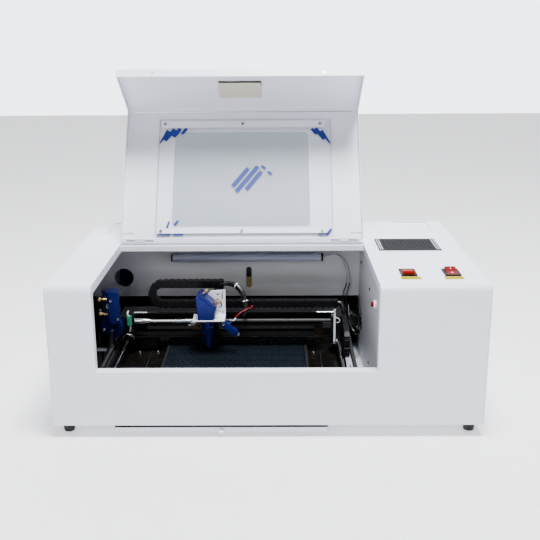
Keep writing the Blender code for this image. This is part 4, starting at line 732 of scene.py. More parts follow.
BAR_SCREW_X = (-0.2385, -0.060, 0.1175)
for name, s_range in (("window_bar_upper", (0.2745, 0.2915)), ("window_bar_lower", (0.014, 0.025))):
    low, high = span(name)
    bar = rounded(high[0] - low[0], s_range[1] - s_range[0], 0.0025,
                  ((low[0] + high[0]) / 2, hinge_y - sum(s_range) / 2))
    made = piece(f"{name}_rolled", plate(bar, BAR_FACE, SHEET_FACE - 0.0002), WHITE_COAT,
                 "lid", bevel=0.0008, on_lid=True)
    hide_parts(name)
    places = [(x, hinge_y - sum(s_range) / 2, BAR_FACE) for x in BAR_SCREW_X]
    screws(f"{name}_screws", places, (0, 0, -1), 0.0040, SCREW_STEEL, "lid", on_lid=True)
    # Painted shade: a small black cone fills each screw head's recess.
    dark = aimed(turned([(0.0018, 0.0), (0.0018, 0.0020), (0.0, 0.0022)], 6), (0, 0, 0), (0, 0, -1))
    piece(f"{name}_screw_sockets", repeated(dark, places), BLACK_COAT, "lid", on_lid=True)
print("window sheet", sheet_x, "with", len(BAR_SCREW_X), "screws in each bar")

# %% [markdown]
# ## Film on the window
#
# A new window keeps scraps of its blue protective film at the corners and in the
# middle. Painted marks could stand for them, but thin plates show from every side
# and export as shapes. Each scrap is a plain bar turned about its middle, and corners
# that would pass the sheet's edge are held at it.

# %% Scraps of protective film
FILM_LIFT = SHEET_FACE - 0.0004


def slanted_bar(x, s, length, width, turn_deg, level=FILM_LIFT, thick=0.0002):
    """A plain bar on the shut lid's underside, turned about its own middle."""
    turn = math.radians(turn_deg)
    corners = np.array(((-1, -1), (1, -1), (1, 1), (-1, 1))) * np.array((length, width)) / 2
    spin = np.array(((math.cos(turn), -math.sin(turn)), (math.sin(turn), math.cos(turn))))
    outline = corners @ spin.T + np.array((x, hinge_y - s))
    return plate(outline, level - thick, level)


def trimmed(bars, x_range, s_range):
    """Bars cut off at the edges of the sheet: their corners are held inside its box."""
    points, faces = gathered(*bars)
    points[:, 0] = np.clip(points[:, 0], *x_range)
    points[:, 1] = np.clip(points[:, 1], hinge_y - s_range[1], hinge_y - s_range[0])
    return points, faces


inside_x = (sheet_x[0] + 0.001, sheet_x[1] - 0.001)
centre = [slanted_bar(-0.064, 0.150, 0.056, 0.0095, -52), slanted_bar(-0.049, 0.146, 0.078, 0.0095, -52),
          slanted_bar(-0.034, 0.142, 0.056, 0.0095, -52), slanted_bar(-0.012, 0.174, 0.012, 0.0060, 38),
          slanted_bar(0.002, 0.160, 0.012, 0.0060, 38)]
top_left = [slanted_bar(-0.243, 0.252, 0.040, 0.0095, -52), slanted_bar(-0.227, 0.257, 0.036, 0.0095, -52),
            slanted_bar(-0.211, 0.262, 0.026, 0.0095, -52), slanted_bar(-0.194, 0.266, 0.018, 0.0070, -52)]
top_right = [slanted_bar(0.104, 0.264, 0.018, 0.0070, 52), slanted_bar(0.117, 0.258, 0.034, 0.0095, 52),
             slanted_bar(0.132, 0.250, 0.040, 0.0095, 52)]
low_left = [slanted_bar(-0.232, 0.0115, 0.030, 0.004, 0), slanted_bar(-0.200, 0.0115, 0.022, 0.004, 0),
            slanted_bar(-0.2235, 0.036, 0.017, 0.004, -70), slanted_bar(-0.205, 0.040, 0.014, 0.005, -52)]
low_right = [slanted_bar(0.120, 0.0115, 0.022, 0.004, 0), slanted_bar(0.134, 0.018, 0.018, 0.007, -50)]
for name, bars in (("film_centre", centre), ("film_top_left", top_left), ("film_top_right", top_right),
                   ("film_low_left", low_left), ("film_low_right", low_right)):
    piece(name, trimmed(bars, inside_x, (0.010, 0.297)), FILM_BLUE, "lid", on_lid=True)
print("film scraps at the centre and four corners")

# %% [markdown]
# ## The lid's own fittings
#
# The bright line along the lid's bend is a painted highlight, drawn as a thin bright steel
# rod. Two screws close the front lip, and small folded gussets stiffen the corners by the hinge.

# %% Lid screws, crease and gussets
lid_low, lid_high = span("lid_shell")
screws("lid_lip_screws", [(x, 0.0088, 0.1121) for x in (-0.2465, 0.1205)], (0, 0, -1), 0.0036,
       SCREW_STEEL, "lid", on_lid=True)
inner_left, inner_right = float(lid_low[0]) + 0.0016, float(lid_high[0]) - 0.0016
gusset = [(0.0, 0.0), (0.026, 0.0), (0.0, 0.040)]
for name, x, side in (("gusset_left", inner_left, 1), ("gusset_right", inner_right, -1)):
    corner = [(x + side * a, hinge_y - 0.0165 - b) for a, b in gusset]
    piece(name, plate(corner, UNDERSIDE - 0.0016, UNDERSIDE - 0.0003), LID_COAT, "lid",
          bevel=0.0004, on_lid=True)
# Painted highlight: a thin bright steel rod along the inner crease of the lid's front fold.
crease_highlight = [(x, 0.0112, 0.2772) for x in np.linspace(inner_left + 0.012, inner_right - 0.012, 40)]
piece("lid_weld_bead", hose(crease_highlight, 0.0011, 8), BRIGHT_STEEL, "lid", on_lid=True)
piece("pad_edge", gathered(box((-0.0165, 0.0022, 0.158), (-0.0148, 0.0064, 0.170)),
                           box((-0.109, 0.0022, 0.1565), (-0.016, 0.0064, 0.1569))), RUBBER,
      "lid", on_lid=True)
print("lid fittings between", round(inner_left, 4), "and", round(inner_right, 4))

# %% [markdown]
# ## The grille over the electronics
#
# The grille is a black moulded plate with rows of narrow slots, and pale ribs at both
# ends. Rows of slats over a dark plate give the slots their real shadow.

# %% Vent grille
low, high = span("vent_grille")
grille_top = float(high[2])
BORDER, END_BAND, SLAT_PITCH, SLAT_WIDTH = 0.0035, 0.012, 0.0062, 0.0034
ring = rounded(high[0] - low[0], high[1] - low[1], 0.002, ((low[0] + high[0]) / 2, (low[1] + high[1]) / 2))
base = plate(ring, grille_top - 0.0016, grille_top - 0.0010)
x0, x1, y0, y1 = float(low[0]), float(high[0]), float(low[1]), float(high[1])
rails = [box((x0, y0, TOP + 0.0002), (x1, y0 + BORDER, grille_top)),
         box((x0, y1 - BORDER, TOP + 0.0002), (x1, y1, grille_top))]
GRILLE_GREY = moulded("grille_plastic", (0.022, 0.022, 0.026), 0.65, 1400.0, 0.00006, 0.04)
grille = piece("vent_grille_moulding", gathered(base, *rails), BLACK_PLASTIC, "cabinet")
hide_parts("vent_grille")
slat_x = np.arange(x0 + END_BAND, x1 - END_BAND, SLAT_PITCH)
slat = box((0.0, y0 + BORDER, grille_top - 0.0011), (SLAT_WIDTH, y1 - BORDER, grille_top - 0.0002))
piece("vent_grille_slats", repeated(slat, [(x, 0.0, 0.0) for x in slat_x]), GRILLE_GREY,
      "cabinet")
bridge = box((x0 + END_BAND, 0.0, grille_top - 0.0011), (x1 - END_BAND, 0.0022, grille_top - 0.00005))
bridge_y = np.linspace(y0 + 0.012, y1 - 0.014, 8)
piece("vent_grille_bridges", repeated(bridge, [(0.0, y, 0.0) for y in bridge_y]), GRILLE_GREY,
      "cabinet")
GRILLE_PALE = moulded("grille_rib", (0.50, 0.51, 0.54), 0.55)
rib = box((0.0, y0 + 0.002, grille_top - 0.0011), (0.0016, y1 - 0.002, grille_top))
rib_x = (x0 + 0.003, x0 + 0.0075, x1 - 0.0095, x1 - 0.0045)
piece("vent_grille_ribs", repeated(rib, [(x, 0.0, 0.0) for x in rib_x]), GRILLE_PALE, "cabinet")
print("grille with", len(slat_x), "slats")

# %% [markdown]
# ## Switch labels and rocker marks
#
# Under each switch is a blank yellow strip, and the rockers have the usual line and
# ring. The labels carry no words.

# %% Labels and rocker marks
for name, x_range, switch in (("label_main", (0.2525, 0.2905), "main_switch_body"),
                              ("label_light", (0.3355, 0.3715), "light_switch_body")):
    before = float(span(switch)[0][1]) - 0.0105
    strip = rounded(x_range[1] - x_range[0], 0.0185, 0.001, (sum(x_range) / 2, before))
    piece(name, plate(strip, TOP + 0.00005, TOP + 0.0003), LABEL, "cabinet")


def rocker_face(node):
    """Three points down the middle of a rocker's face: near edge, dip and far edge.

    Each is the highest of the points that lie within a couple of millimetres of it.
    """
    vertices = frame["nodes"][node].data.vertices
    points = np.empty(3 * len(vertices), dtype=np.float32)
    vertices.foreach_get("co", points)
    points = points.reshape(-1, 3).astype(float) - HOME
    near = points[points[:, 1] < points[:, 1].min() + 0.0020]
    far = points[points[:, 1] > points[:, 1].max() - 0.0020]
    edge = near[near[:, 2].argmax()], far[far[:, 2].argmax()]
    middle_y = (edge[0][1] + edge[1][1]) / 2
    dip = points[np.abs(points[:, 1] - middle_y) < 0.0025]
    return edge[0], dip[dip[:, 2].argmax()], edge[1]


MARK_WHITE = moulded("rocker_mark", (0.80, 0.72, 0.72), 0.5, 1400.0, 0.00003, 0.2)
near, dip, far = rocker_face("light_switch_rocker")
rocker_low, rocker_high = span("light_switch_rocker")
marks = []
for end, share, width in ((near, 0.45, 0.0040), (far, 0.55, 0.0016)):
    at = dip + (end - dip) * share
    slope = (end - dip)[[1, 2]] / np.linalg.norm((end - dip)[[1, 2]])
    normal = (0.0, -slope[1] * np.sign(slope[0]), abs(slope[0]))
    mark = plate(rounded(width, 0.0040, 0.0007), -0.0004, 0.0004)
    marks.append(aimed(mark, ((rocker_low[0] + rocker_high[0]) / 2, at[1], at[2]), normal))
piece("rocker_marks", gathered(*marks), MARK_WHITE, "light_rocker")
print("rocker dips to", rocker_face("main_switch_rocker")[1].round(4))

# %% [markdown]
# ## The honeycomb bed
#
# The bed is aluminium foil glued into hexagons, so that air passes under the work. Each
# cell is a ring: an outer hexagon that meets its neighbours, and an inner one that goes
# down. Every cell is the same few quads, so the whole bed is one array of centres.

# %% Honeycomb bed
low, high = span("honeycomb_bed")
CELL, WALL, CELL_DEPTH, MARGIN = 0.0080, 0.0014, 0.0090, 0.007
side = CELL / math.sqrt(3.0)
columns = np.arange(low[0] + MARGIN, high[0] - MARGIN, CELL)
rows = np.arange(low[1] + MARGIN, high[1] - MARGIN, 1.5 * side)
across, back = np.meshgrid(columns, rows)
across = across + (np.arange(len(rows)) % 2)[:, None] * CELL / 2
centres = np.stack((across.ravel(), back.ravel(), np.zeros(across.size)), axis=-1)
centres = centres[centres[:, 0] < high[0] - MARGIN]
turn = np.radians(np.arange(30, 390, 60))
hexagon = np.stack((np.cos(turn), np.sin(turn)), axis=-1)
bed_top = float(high[2])
inner, cell_top = side - WALL, bed_top - 0.0003
levels = ((side * 1.002, cell_top), (inner, cell_top), (inner, bed_top - CELL_DEPTH))
cell_points = np.vstack([np.hstack((hexagon * size, np.full((6, 1), z))) for size, z in levels])
cell = (cell_points, grid_faces(3, 6, wrap=True))
cells = piece("bed_cells", repeated(cell, centres), HONEYCOMB, "cabinet", smooth_deg=20)
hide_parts("honeycomb_bed")
rim = 0.0055
BED_BLACK = dust_and_sheen_coat("bed_black", (0.0015, 0.0015, 0.002), 0.75, (0.004, 0.004, 0.004))
sides = [box((low[0], low[1], low[2]), (high[0], low[1] + rim, bed_top)),
         box((low[0], high[1] - rim, low[2]), (high[0], high[1], bed_top)),
         box((low[0], low[1] + rim, low[2]), (low[0] + rim, high[1] - rim, bed_top)),
         box((high[0] - rim, low[1] + rim, low[2]), (high[0], high[1] - rim, bed_top)),
         box((low[0] + rim, low[1] + rim, low[2]), (high[0] - rim, high[1] - rim, low[2] + 0.001))]
piece("bed_frame", gathered(*sides), BED_BLACK, "cabinet", bevel=0.0003)
print(len(centres), "cells in the bed")

# %% [markdown]
# ## The strip lamp
#
# The lamp is a frosted tube in a pale channel, with a black ring at each end. Its lead
# leaves the right end as two thin wires, arcs over and drops to the floor of the work
# space, with a black sleeve on the last stretch of each wire.

# %% Lamp tube, rings and channel
low, high = span("work_lamp")
lamp_radius = 0.0088
lamp_y, lamp_z = float(low[1]) + lamp_radius, 0.2295
lamp_left, lamp_right = float(low[0]), float(high[0])
tube = aimed(turned([(0.0, 0.004), (lamp_radius, 0.004), (lamp_radius, lamp_right - lamp_left - 0.004),
                     (0.0, lamp_right - lamp_left - 0.004)], 32), (lamp_left, lamp_y, lamp_z), (1, 0, 0))
channel = box((lamp_left + 0.010, lamp_y + 0.002, lamp_z - 0.0042),
              (lamp_right - 0.010, float(high[1]), lamp_z + 0.0042))
lamp = piece("lamp_tube", gathered(tube, channel), DIFFUSER, "cabinet", bevel=0.0004)
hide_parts("work_lamp")
ring = turned([(lamp_radius, 0.0), (lamp_radius, 0.0035), (0.0, 0.0040)], 32)
ends = gathered(aimed(ring, (lamp_left + 0.0035, lamp_y, lamp_z), (-1, 0, 0)),
                aimed(ring, (lamp_right - 0.0035, lamp_y, lamp_z), (1, 0, 0)))
piece("lamp_rings", ends, BLACK_PLASTIC, "cabinet", bevel=0.0003)
print("lamp from", lamp_left, "to", lamp_right)

# %% [markdown]
# ## The lamp's lead
#
# The lead is two thin wires that part and meet again on their way down. Both follow one
# smooth route, pushed apart along x by a distance that changes on the way, so they can't
# cross. The sleeves are the same routes again from about the middle on, a little thicker.

# %% Lamp lead
corner = np.array((float(span("right_partition")[0][0]), float(span("rear_partition")[0][1]), 0.0))
LEAD = corner + np.array([(-0.0853, -0.0110, 0.2320), (-0.0758, -0.0115, 0.2345), (-0.0618, -0.0120, 0.2375),
                          (-0.0498, -0.0125, 0.2345), (-0.0398, -0.0125, 0.2240), (-0.0323, -0.0125, 0.2080),
                          (-0.0283, -0.0125, 0.1900), (-0.0276, -0.0120, 0.1740), (-0.0298, -0.0110, 0.1590),
                          (-0.0338, -0.0100, 0.1450), (-0.0358, -0.0110, 0.1300), (-0.0343, -0.0160, 0.1170),
                          (-0.0288, -0.0230, 0.1080), (-0.0198, -0.0300, 0.1010), (-0.0098, -0.0350, 0.0950),
                          (0.0007, -0.0375, 0.0900), (0.0102, -0.0380, 0.0870)])
route = smooth_path(LEAD, 8)
spread = np.interp(np.arange(len(route)), [0, 20, 40, 70, len(route) - 1],
                   [0.0010, 0.0012, 0.0032, 0.0042, 0.0014])
apart = np.stack((spread, np.zeros(len(route)), np.zeros(len(route))), axis=-1)
sleeve_from = int(0.46 * len(route))
left_wire, right_wire = route - apart, route + apart
wires = gathered(hose(left_wire, 0.0010, 8), hose(right_wire, 0.0010, 8))
lead = piece("lamp_wires", wires, WIRE_WHITE, "cabinet", smooth_deg=70)
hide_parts("lamp_lead")
sleeves = gathered(hose(left_wire[sleeve_from:], 0.0014, 10), hose(right_wire[sleeve_from:], 0.0014, 10))
piece("lamp_wire_sleeves", sleeves, WIRE_BLACK, "cabinet", smooth_deg=70)
print("lead is", round(length_of(route), 3), "m long")

# %% [markdown]
# ## Cable chains
#
# A cable chain is a row of plastic links that can only bend one way. Links are one
# outline pushed across the chain's width, and each is turned to the direction of the
# chain where it sits. Both ends of a real chain move; here the lower run, the bend and
# the upper run are three still pieces that hang on no body.


# %% Chain links
def chain_path(near_bend, upper_end, lower_end, middle, radius):
    """The chain's centre line: along the lower run, half round the bend, back along the top."""
    away = 1.0 if upper_end > near_bend else -1.0
    turn = np.linspace(-math.pi / 2, -1.5 * math.pi, 25)
    bend = np.stack((near_bend + away * radius * np.cos(turn), middle + radius * np.sin(turn)), axis=-1)
    return (np.array(((lower_end, middle - radius), (near_bend, middle - radius))), bend,
            np.array(((near_bend, middle + radius), (upper_end, middle + radius))))


def links_on(path, pitch, height, width, gap=0.0006):
    """Links along a flat path: each outline is turned to the path's direction at its middle.

    A link is a rectangle with its outer corners cut, pushed across the chain by half of
    its width both ways. Turning is the plane rotation (x cos - z sin, x sin + z cos).
    """
    steps = np.linalg.norm(np.diff(path, axis=0), axis=1)
    travelled = np.concatenate(([0.0], np.cumsum(steps)))
    count = max(1, int(travelled[-1] / pitch))
    middles = (np.arange(count) + 0.5) * travelled[-1] / count
    at = np.stack([np.interp(middles, travelled, path[:, axis]) for axis in (0, 1)], axis=-1)
    ahead = np.stack([np.interp(middles + 1e-4, travelled, path[:, axis]) for axis in (0, 1)], axis=-1)
    behind = np.stack([np.interp(middles - 1e-4, travelled, path[:, axis]) for axis in (0, 1)], axis=-1)
    heading = np.arctan2(*(ahead - behind).T[::-1])
    half, rise = (travelled[-1] / count - gap) / 2, height / 2
    outline = np.array(((-half, -rise), (half, -rise), (half, rise * 0.72), (half - 0.0014, rise),
                        (-half + 0.0014, rise), (-half, rise * 0.72)))
    cos, sin = np.cos(heading)[:, None], np.sin(heading)[:, None]
    flat = np.stack((outline[:, 0] * cos - outline[:, 1] * sin + at[:, :1],
                     outline[:, 0] * sin + outline[:, 1] * cos + at[:, 1:]), axis=-1)
    near = np.concatenate((flat, np.full((count, 6, 1), -width / 2)), axis=-1)
    far = np.concatenate((flat, np.full((count, 6, 1), width / 2)), axis=-1)
    points = np.concatenate((near, far), axis=1).reshape(-1, 3)
    faces = plate(outline, 0.0, 1.0)[1]
    return points, [[corner + 12 * link for corner in face] for link in range(count) for face in faces]


def core_of(path, height, width):
    """A thinner band inside the links, which closes the gaps between them."""
    along = np.gradient(path, axis=0)
    along /= np.linalg.norm(along, axis=1, keepdims=True)
    normal = np.stack((-along[:, 1], along[:, 0]), axis=-1) * height / 2
    outline = np.vstack((path - normal, (path + normal)[::-1]))
    count = len(outline)
    points = np.vstack([np.hstack((outline, np.full((count, 1), side * width / 2))) for side in (-1, 1)])
    rows = len(path)
    strip = [[k, k + 1, count - 2 - k, count - 1 - k] for k in range(rows - 1)]
    return points, (strip + [[corner + count for corner in face][::-1] for face in strip]
                    + grid_faces(2, count, wrap=True))


CHAIN_HEIGHT, LINK_PITCH, FAR_OFF = 0.0165, 0.0125, 9.0


def chain_run(name, path, plane, across_at, width, ends, replaced=None):
    """One run of a chain, placed in the x-z or y-z plane, between two bodies.

    It is made on the first of the two bodies and then let go, so it hangs on neither.
    """
    outer, faces = gathered(links_on(path, LINK_PITCH, CHAIN_HEIGHT, width),
                            core_of(path, CHAIN_HEIGHT * 0.86, width * 0.86))
    order = (0, 2, 1) if plane == "x" else (2, 0, 1)
    points = outer[:, order]
    points[:, 1 if plane == "x" else 0] += across_at
    made = piece(name, (points, faces), CHAIN_PLASTIC, ends[0], bevel=0.0005, smooth_deg=30)
    made.parent = None  # the run hangs on neither body
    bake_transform(made)
    if replaced:
        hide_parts(replaced)
    return made


one_link = links_on(np.array(((0.0, 0.0), (LINK_PITCH, 0.0))), LINK_PITCH, CHAIN_HEIGHT, 0.018)
print("a link has", len(one_link[1]), "faces")

# %% [markdown]
# ## The chain along the gantry
#
# This chain carries the wires and the air to the head. Its lower run is laid on the
# gantry, it turns at the left, and its upper run ends above the head. It is made as three
# pieces: the lower run, the bend and the upper run.

# %% The chain along the gantry
low, high = span("x_cable_chain")
X_WIDTH, X_TURN = 0.0178, 0.031
x_bend, x_middle = float(low[0]) + X_TURN, (float(low[2]) + float(high[2])) / 2
x_upper = float(span("head_carriage")[0][0]) + 0.066
x_across = (float(low[1]) + float(high[1])) / 2
x_radius = X_TURN - CHAIN_HEIGHT / 2
lower, bend, upper = chain_path(x_bend, x_upper, float(high[0]), x_middle, x_radius)
X_PAIR = ("gantry", "carriage")
chain_run("x_chain_lower", lower, "x", x_across, X_WIDTH, X_PAIR,
          "x_cable_chain")
chain_run("x_chain_bend", bend, "x", x_across, X_WIDTH, X_PAIR)
chain_run("x_chain_upper", upper, "x", x_across, X_WIDTH, X_PAIR)
print("x chain bend at", x_bend, "upper end", round(x_upper, 4))

# %% [markdown]
# ## The chain beside the right rod
#
# The second chain runs front to back and joins the cabinet to the gantry. It is the same
# rule with other numbers, laid in the y-z plane.

# %% The chain beside the right rod
low, high = span("y_cable_chain")
Y_WIDTH, Y_TURN = 0.0112, 0.034
y_bend, y_middle = float(low[1]) + Y_TURN, (float(low[2]) + float(high[2])) / 2
y_across = (float(low[0]) + float(high[0])) / 2
y_radius = Y_TURN - CHAIN_HEIGHT / 2
lower, bend, upper = chain_path(y_bend, float(high[1]), float(high[1]) - 0.002, y_middle, y_radius)
Y_PAIR = ("cabinet", "gantry")
chain_run("y_chain_lower", lower, "y", y_across, Y_WIDTH, Y_PAIR,
          "y_cable_chain")
chain_run("y_chain_bend", bend, "y", y_across, Y_WIDTH, Y_PAIR)
chain_run("y_chain_upper", upper, "y", y_across, Y_WIDTH, Y_PAIR)
print("y chain bend at", y_bend)

# %% [markdown]
# ## The second mirror
#
# The mirror at the left end of the gantry is held by a blue anodised mount. Two brass
# thumbscrews tilt it, and plain screws lock it. The thumbscrews are turned profiles
# aimed out to the left.

# %% Second mirror mount: face plate, thumbscrews and screws
low, high = span("second_mirror_mount")
mount_front = float(low[1])
face = rounded(0.0225, 0.066, 0.0015, (-0.3232, -0.1735))
upright = stood_up(plate(face, mount_front - 0.0009, mount_front + 0.0004))
piece("mirror_face_plate", upright, BLUE, "gantry", bevel=0.0004)
THUMB = thumbscrew(0.0042, 0.0026, 0.018)
piece("mirror_thumbscrews", gathered(aimed(THUMB, (-0.3395, 0.1945, 0.1935), (-1.0, -0.45, 0.10)),
                                     aimed(THUMB, (-0.3390, 0.1945, 0.1600), (-1.0, -0.45, 0.22))),
      BRASS, "gantry", smooth_deg=45)
screws("mirror_lock_screws", [(-0.3300, mount_front - 0.0009, 0.1905), (-0.3165, mount_front - 0.0009, 0.1500)],
       (0, -1, 0), 0.0030, BRIGHT_STEEL, "gantry")
screws("mirror_side_screws", [(-0.3535, 0.1955, 0.1690), (-0.3480, 0.1955, 0.1250), (-0.3310, 0.1955, 0.1235)],
       (0, -1, 0), 0.0034, BRIGHT_STEEL, "gantry")
glass = turned([(0.0, 0.0), (0.0064, 0.0), (0.0064, 0.0012), (0.0, 0.0014)], 24)
piece("mirror_glass", aimed(glass, (-0.3350, mount_front + 0.001, 0.1795), (0.7, -0.7, 0.0)), CHROME,
      "gantry")
print("mirror mount front at", mount_front)

# %% [markdown]
# ## Hoses and wires
#
# Every hose is a circle carried along a smooth curve through a few points. Both ends of
# each one are held, so each is only as long as its way from one end to the other. The
# air hose joins the gantry to the cabinet, and hangs on neither.

# %% Hoses at the gantry's ends
air = smooth_path([(-0.3320, 0.1990, 0.1160), (-0.3345, 0.1900, 0.0950), (-0.3410, 0.1740, 0.0620),
                   (-0.3470, 0.1600, 0.0330), (-0.3500, 0.1540, 0.0040)], 8)
air_hose = piece("air_hose", hose(air, 0.0050, 12), WIRE_BLACK, "gantry", smooth_deg=70)
air_hose.parent = None  # the hose hangs on neither body
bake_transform(air_hose)

block = box((-0.3040, 0.2235, 0.1235), (-0.2950, 0.2306, 0.1450))
pins = [box((-0.3035, 0.2228, z), (-0.2955, 0.2236, z + 0.0022)) for z in np.arange(0.1250, 0.1430, 0.0045)]
piece("green_connector", gathered(block, *pins), WIRE_GREEN, "gantry", bevel=0.0004)
ribbons = ([(-0.3015, 0.2270, 0.1440), (-0.3028, 0.2262, 0.1500), (-0.3010, 0.2290, 0.1560)],
           [(-0.2985, 0.2270, 0.1240), (-0.2978, 0.2262, 0.1170), (-0.3000, 0.2290, 0.1090)])
piece("connector_wires", gathered(*[hose(smooth_path(ribbon), 0.0017, 8) for ribbon in ribbons]),
      CLEAR_CLIP, "gantry", smooth_deg=70)
CLIP_RADIUS = 0.0125
half_turn = np.linspace(math.radians(-8), math.radians(188), 24)
clip = np.stack((-0.3040 + CLIP_RADIUS * np.cos(half_turn), np.full(24, 0.2288),
                 0.0900 + CLIP_RADIUS * np.sin(half_turn)), axis=-1)
piece("rod_ring", hose(clip, 0.0013, 10), SCREW_STEEL, "gantry", smooth_deg=70)
print("air hose", round(length_of(air), 3), "m long")

# %% [markdown]
# ## Small metal on the gantry
#
# The ends of the gantry carry a turned ferrule, two short rods, a folded corner plate, a
# tab, a white strip and a bent wire hook. Turned parts are profiles, sheet parts are
# outlines, and the hook is a thin hose along a curve.

# %% Rods and plates on the gantry
rod_y, rod_z = 0.240, 0.129
ferrule = turned([(0.0, 0.0), (0.0062, 0.0), (0.0062, 0.018), (0.0044, 0.030), (0.0042, 0.0335),
                  (0.0, 0.0335)], 28)
piece("rod_ferrule", aimed(ferrule, (-0.2895, rod_y, rod_z), (1, 0, 0)), CHROME, "gantry",
      smooth_deg=50)
short_y, short_z = 0.2500, 0.1446
short_rods = [hose(np.linspace((start, short_y, short_z), (end, short_y, short_z), 4), radius, 12)
              for start, end, radius in ((-0.2925, -0.2640, 0.0017), (0.1030, 0.1400, 0.0014))]
piece("short_rods", gathered(*short_rods), BRIGHT_STEEL, "gantry")
# Painted reflection: the corner plate is coloured brown, with brown patches, for the brown sheen it shows.
SHEEN_PLATE = dust_and_sheen_coat("brown_plate", (0.012, 0.008, 0.006), 0.22, (0.050, 0.036, 0.026))
corner_plate = rounded(0.0160, 0.0390, 0.003, (0.1072, -0.0980))
piece("corner_plate", stood_up(plate(corner_plate, 0.2432, 0.2440)), SHEEN_PLATE, "gantry",
      bevel=0.0003)
piece("grey_tab", box((0.1155, 0.2318, 0.1145), (0.1340, 0.2330, 0.1270)),
      dust_and_sheen_coat("grey_tab", (0.020, 0.019, 0.020), 0.35, (0.06, 0.06, 0.06)), "gantry",
      bevel=0.0003)
piece("white_strip", box((0.1388, 0.2282, 0.0790), (0.1428, 0.2296, 0.1575)), WHITE_COAT, "gantry",
      bevel=0.0004)
hook = smooth_path([(0.1430, 0.2275, 0.1400), (0.1475, 0.2262, 0.1385), (0.1515, 0.2265, 0.1345),
                    (0.1500, 0.2270, 0.1295), (0.1450, 0.2275, 0.1280)])
piece("hook_clip", hose(hook, 0.0010, 8), CLEAR_CLIP, "gantry", smooth_deg=70)
screws("strip_screws", [(0.1408, 0.2282, 0.1535), (0.1408, 0.2282, 0.0830)], (0, -1, 0), 0.0017, SCREW_STEEL,
       "gantry")
screws("beam_screw", [(0.0045, 0.2975, 0.1065)], (0, -1, 0), 0.0052, BLACK_COAT, "gantry")
screws("beam_washer", [(-0.0400, 0.2975, 0.1065), (-0.2000, 0.2975, 0.1065)], (0, -1, 0), 0.0036, BLACK_COAT,
       "gantry")
y_hose = smooth_path([(0.1490, 0.2710, 0.1585), (0.1570, 0.2705, 0.1580), (0.1615, 0.2660, 0.1500),
                      (0.1622, 0.2640, 0.1380)])
piece("chain_hose", hose(y_hose, 0.0046, 12), WIRE_BLACK, "gantry", smooth_deg=70)
print("ferrule at", (rod_y, rod_z), "and a chain hose", round(length_of(y_hose), 3), "m long")

# %% [markdown]
# ## The laser head
#
# The head hangs on a slider block behind a bent white plate. The plate has a foot that
# the lens tube passes through. Two bronze blocks sit below it, and a knurled screw
# clamps the tube at its height. A knurl is a circle whose radius rises and falls.

# %% The bent plate and the black slider
head_low, head_high = span("head_carriage")
head_x, head_y = -0.129, 0.205
plate_front, plate_back = 0.2262, 0.2285
plate_right = float(head_high[0])
back_plate = [(-0.1505, 0.1464), (plate_right, 0.1464), (plate_right, 0.2030), (-0.1230, 0.2010),
              (-0.1470, 0.1700)]
bent = stood_up(plate([(x, -z) for x, z in back_plate], plate_front, plate_back))
foot = [box((float(head_low[0]) + 0.004, 0.184, 0.146), (float(head_high[0]), plate_back, 0.1484))]
made = piece("head_plate", gathered(bent, *foot), WHITE_COAT, "carriage", bevel=0.0004)
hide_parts("head_carriage")
behind = plate_back - 0.0002
slider = [box((head_x - 0.034, plate_front, 0.1120), (head_x + 0.035, plate_back, 0.1455)),
          box((head_x - 0.031, behind, 0.1190), (head_x + 0.031, 0.2500, 0.1250)),
          box((head_x - 0.031, behind, 0.1332), (head_x + 0.031, 0.2500, 0.1390)),
          box((head_x - 0.031, behind, 0.1250), (head_x + 0.031, 0.2355, 0.1332)),
          box((head_x - 0.006, 0.2460, 0.1020), (head_x + 0.006, 0.2475, 0.1290)),
          box((head_x + 0.011, behind, 0.1928), (head_x + 0.031, 0.2798, 0.1953))]
piece("head_slider", gathered(*slider), BLACK_COAT, "carriage", bevel=0.0003)
# The slots are thin dark plates: painted shade where the plate is cut through.
DARK_MARK = moulded("plate_slots", (0.02, 0.02, 0.022), 0.5)
slots = [(-0.0990, 0.1890, 0.0022, 0.0120), (-0.1010, 0.1700, 0.0026, 0.0090),
         (-0.1060, 0.1560, 0.0050, 0.0020), (-0.0985, 0.1540, 0.0018, 0.0060),
         (-0.1080, 0.1935, 0.0070, 0.0022)]
for number, (x, z, width, height) in enumerate(slots):
    mark = plate(rounded(width, height, 0.0008, (x, -z)), plate_front - 0.0004, plate_front + 0.0002)
    piece(f"plate_slot_{number}", stood_up(mark), DARK_MARK, "carriage")
plate_screw_xz = ((-0.1030, 0.1780), (-0.1050, 0.1660), (-0.0985, 0.1985), (-0.1120, 0.1570))
screws("plate_screws", [(x, plate_front, z) for x, z in plate_screw_xz], (0, -1, 0), 0.0021, SCREW_STEEL,
       "carriage")
print("head plate from", round(float(head_low[0]), 4), "to", round(float(head_high[0]), 4))

# %% [markdown]
# ## Blocks, knob and thumbscrews
#
# Two bronze bearing blocks guide the head on the rod. The knurled knob has 24 ridges, so
# its rim is a circle of 96 points, which lie by turns a little out and a little in. The
# three brass thumbscrews that aim the mirror are one turned shape in three places.

# %% Bronze blocks, knurled knob and thumbscrews on the head
block_front = 0.2105
blocks = [box((head_x + left, block_front, 0.1198), (head_x + right, 0.2262, 0.1342))
          for left, right in ((-0.0352, -0.0145), (0.0235, 0.0365))]
piece("bronze_blocks", gathered(*blocks), BRONZE, "carriage", bevel=0.0006)
# The holes are black domed discs: painted shade in the holes.
screws("block_holes", [(head_x - 0.0200, block_front, 0.1270), (head_x + 0.0305, block_front, 0.1270)],
       (0, -1, 0), 0.0030, BLACK_COAT, "carriage")
piece("block_screw", aimed(thumbscrew(0.0026, 0.0014, 0.010), (head_x - 0.0345, 0.2120, 0.1290),
                           (-1.0, -0.6, 0.12)), BRIGHT_STEEL, "carriage")

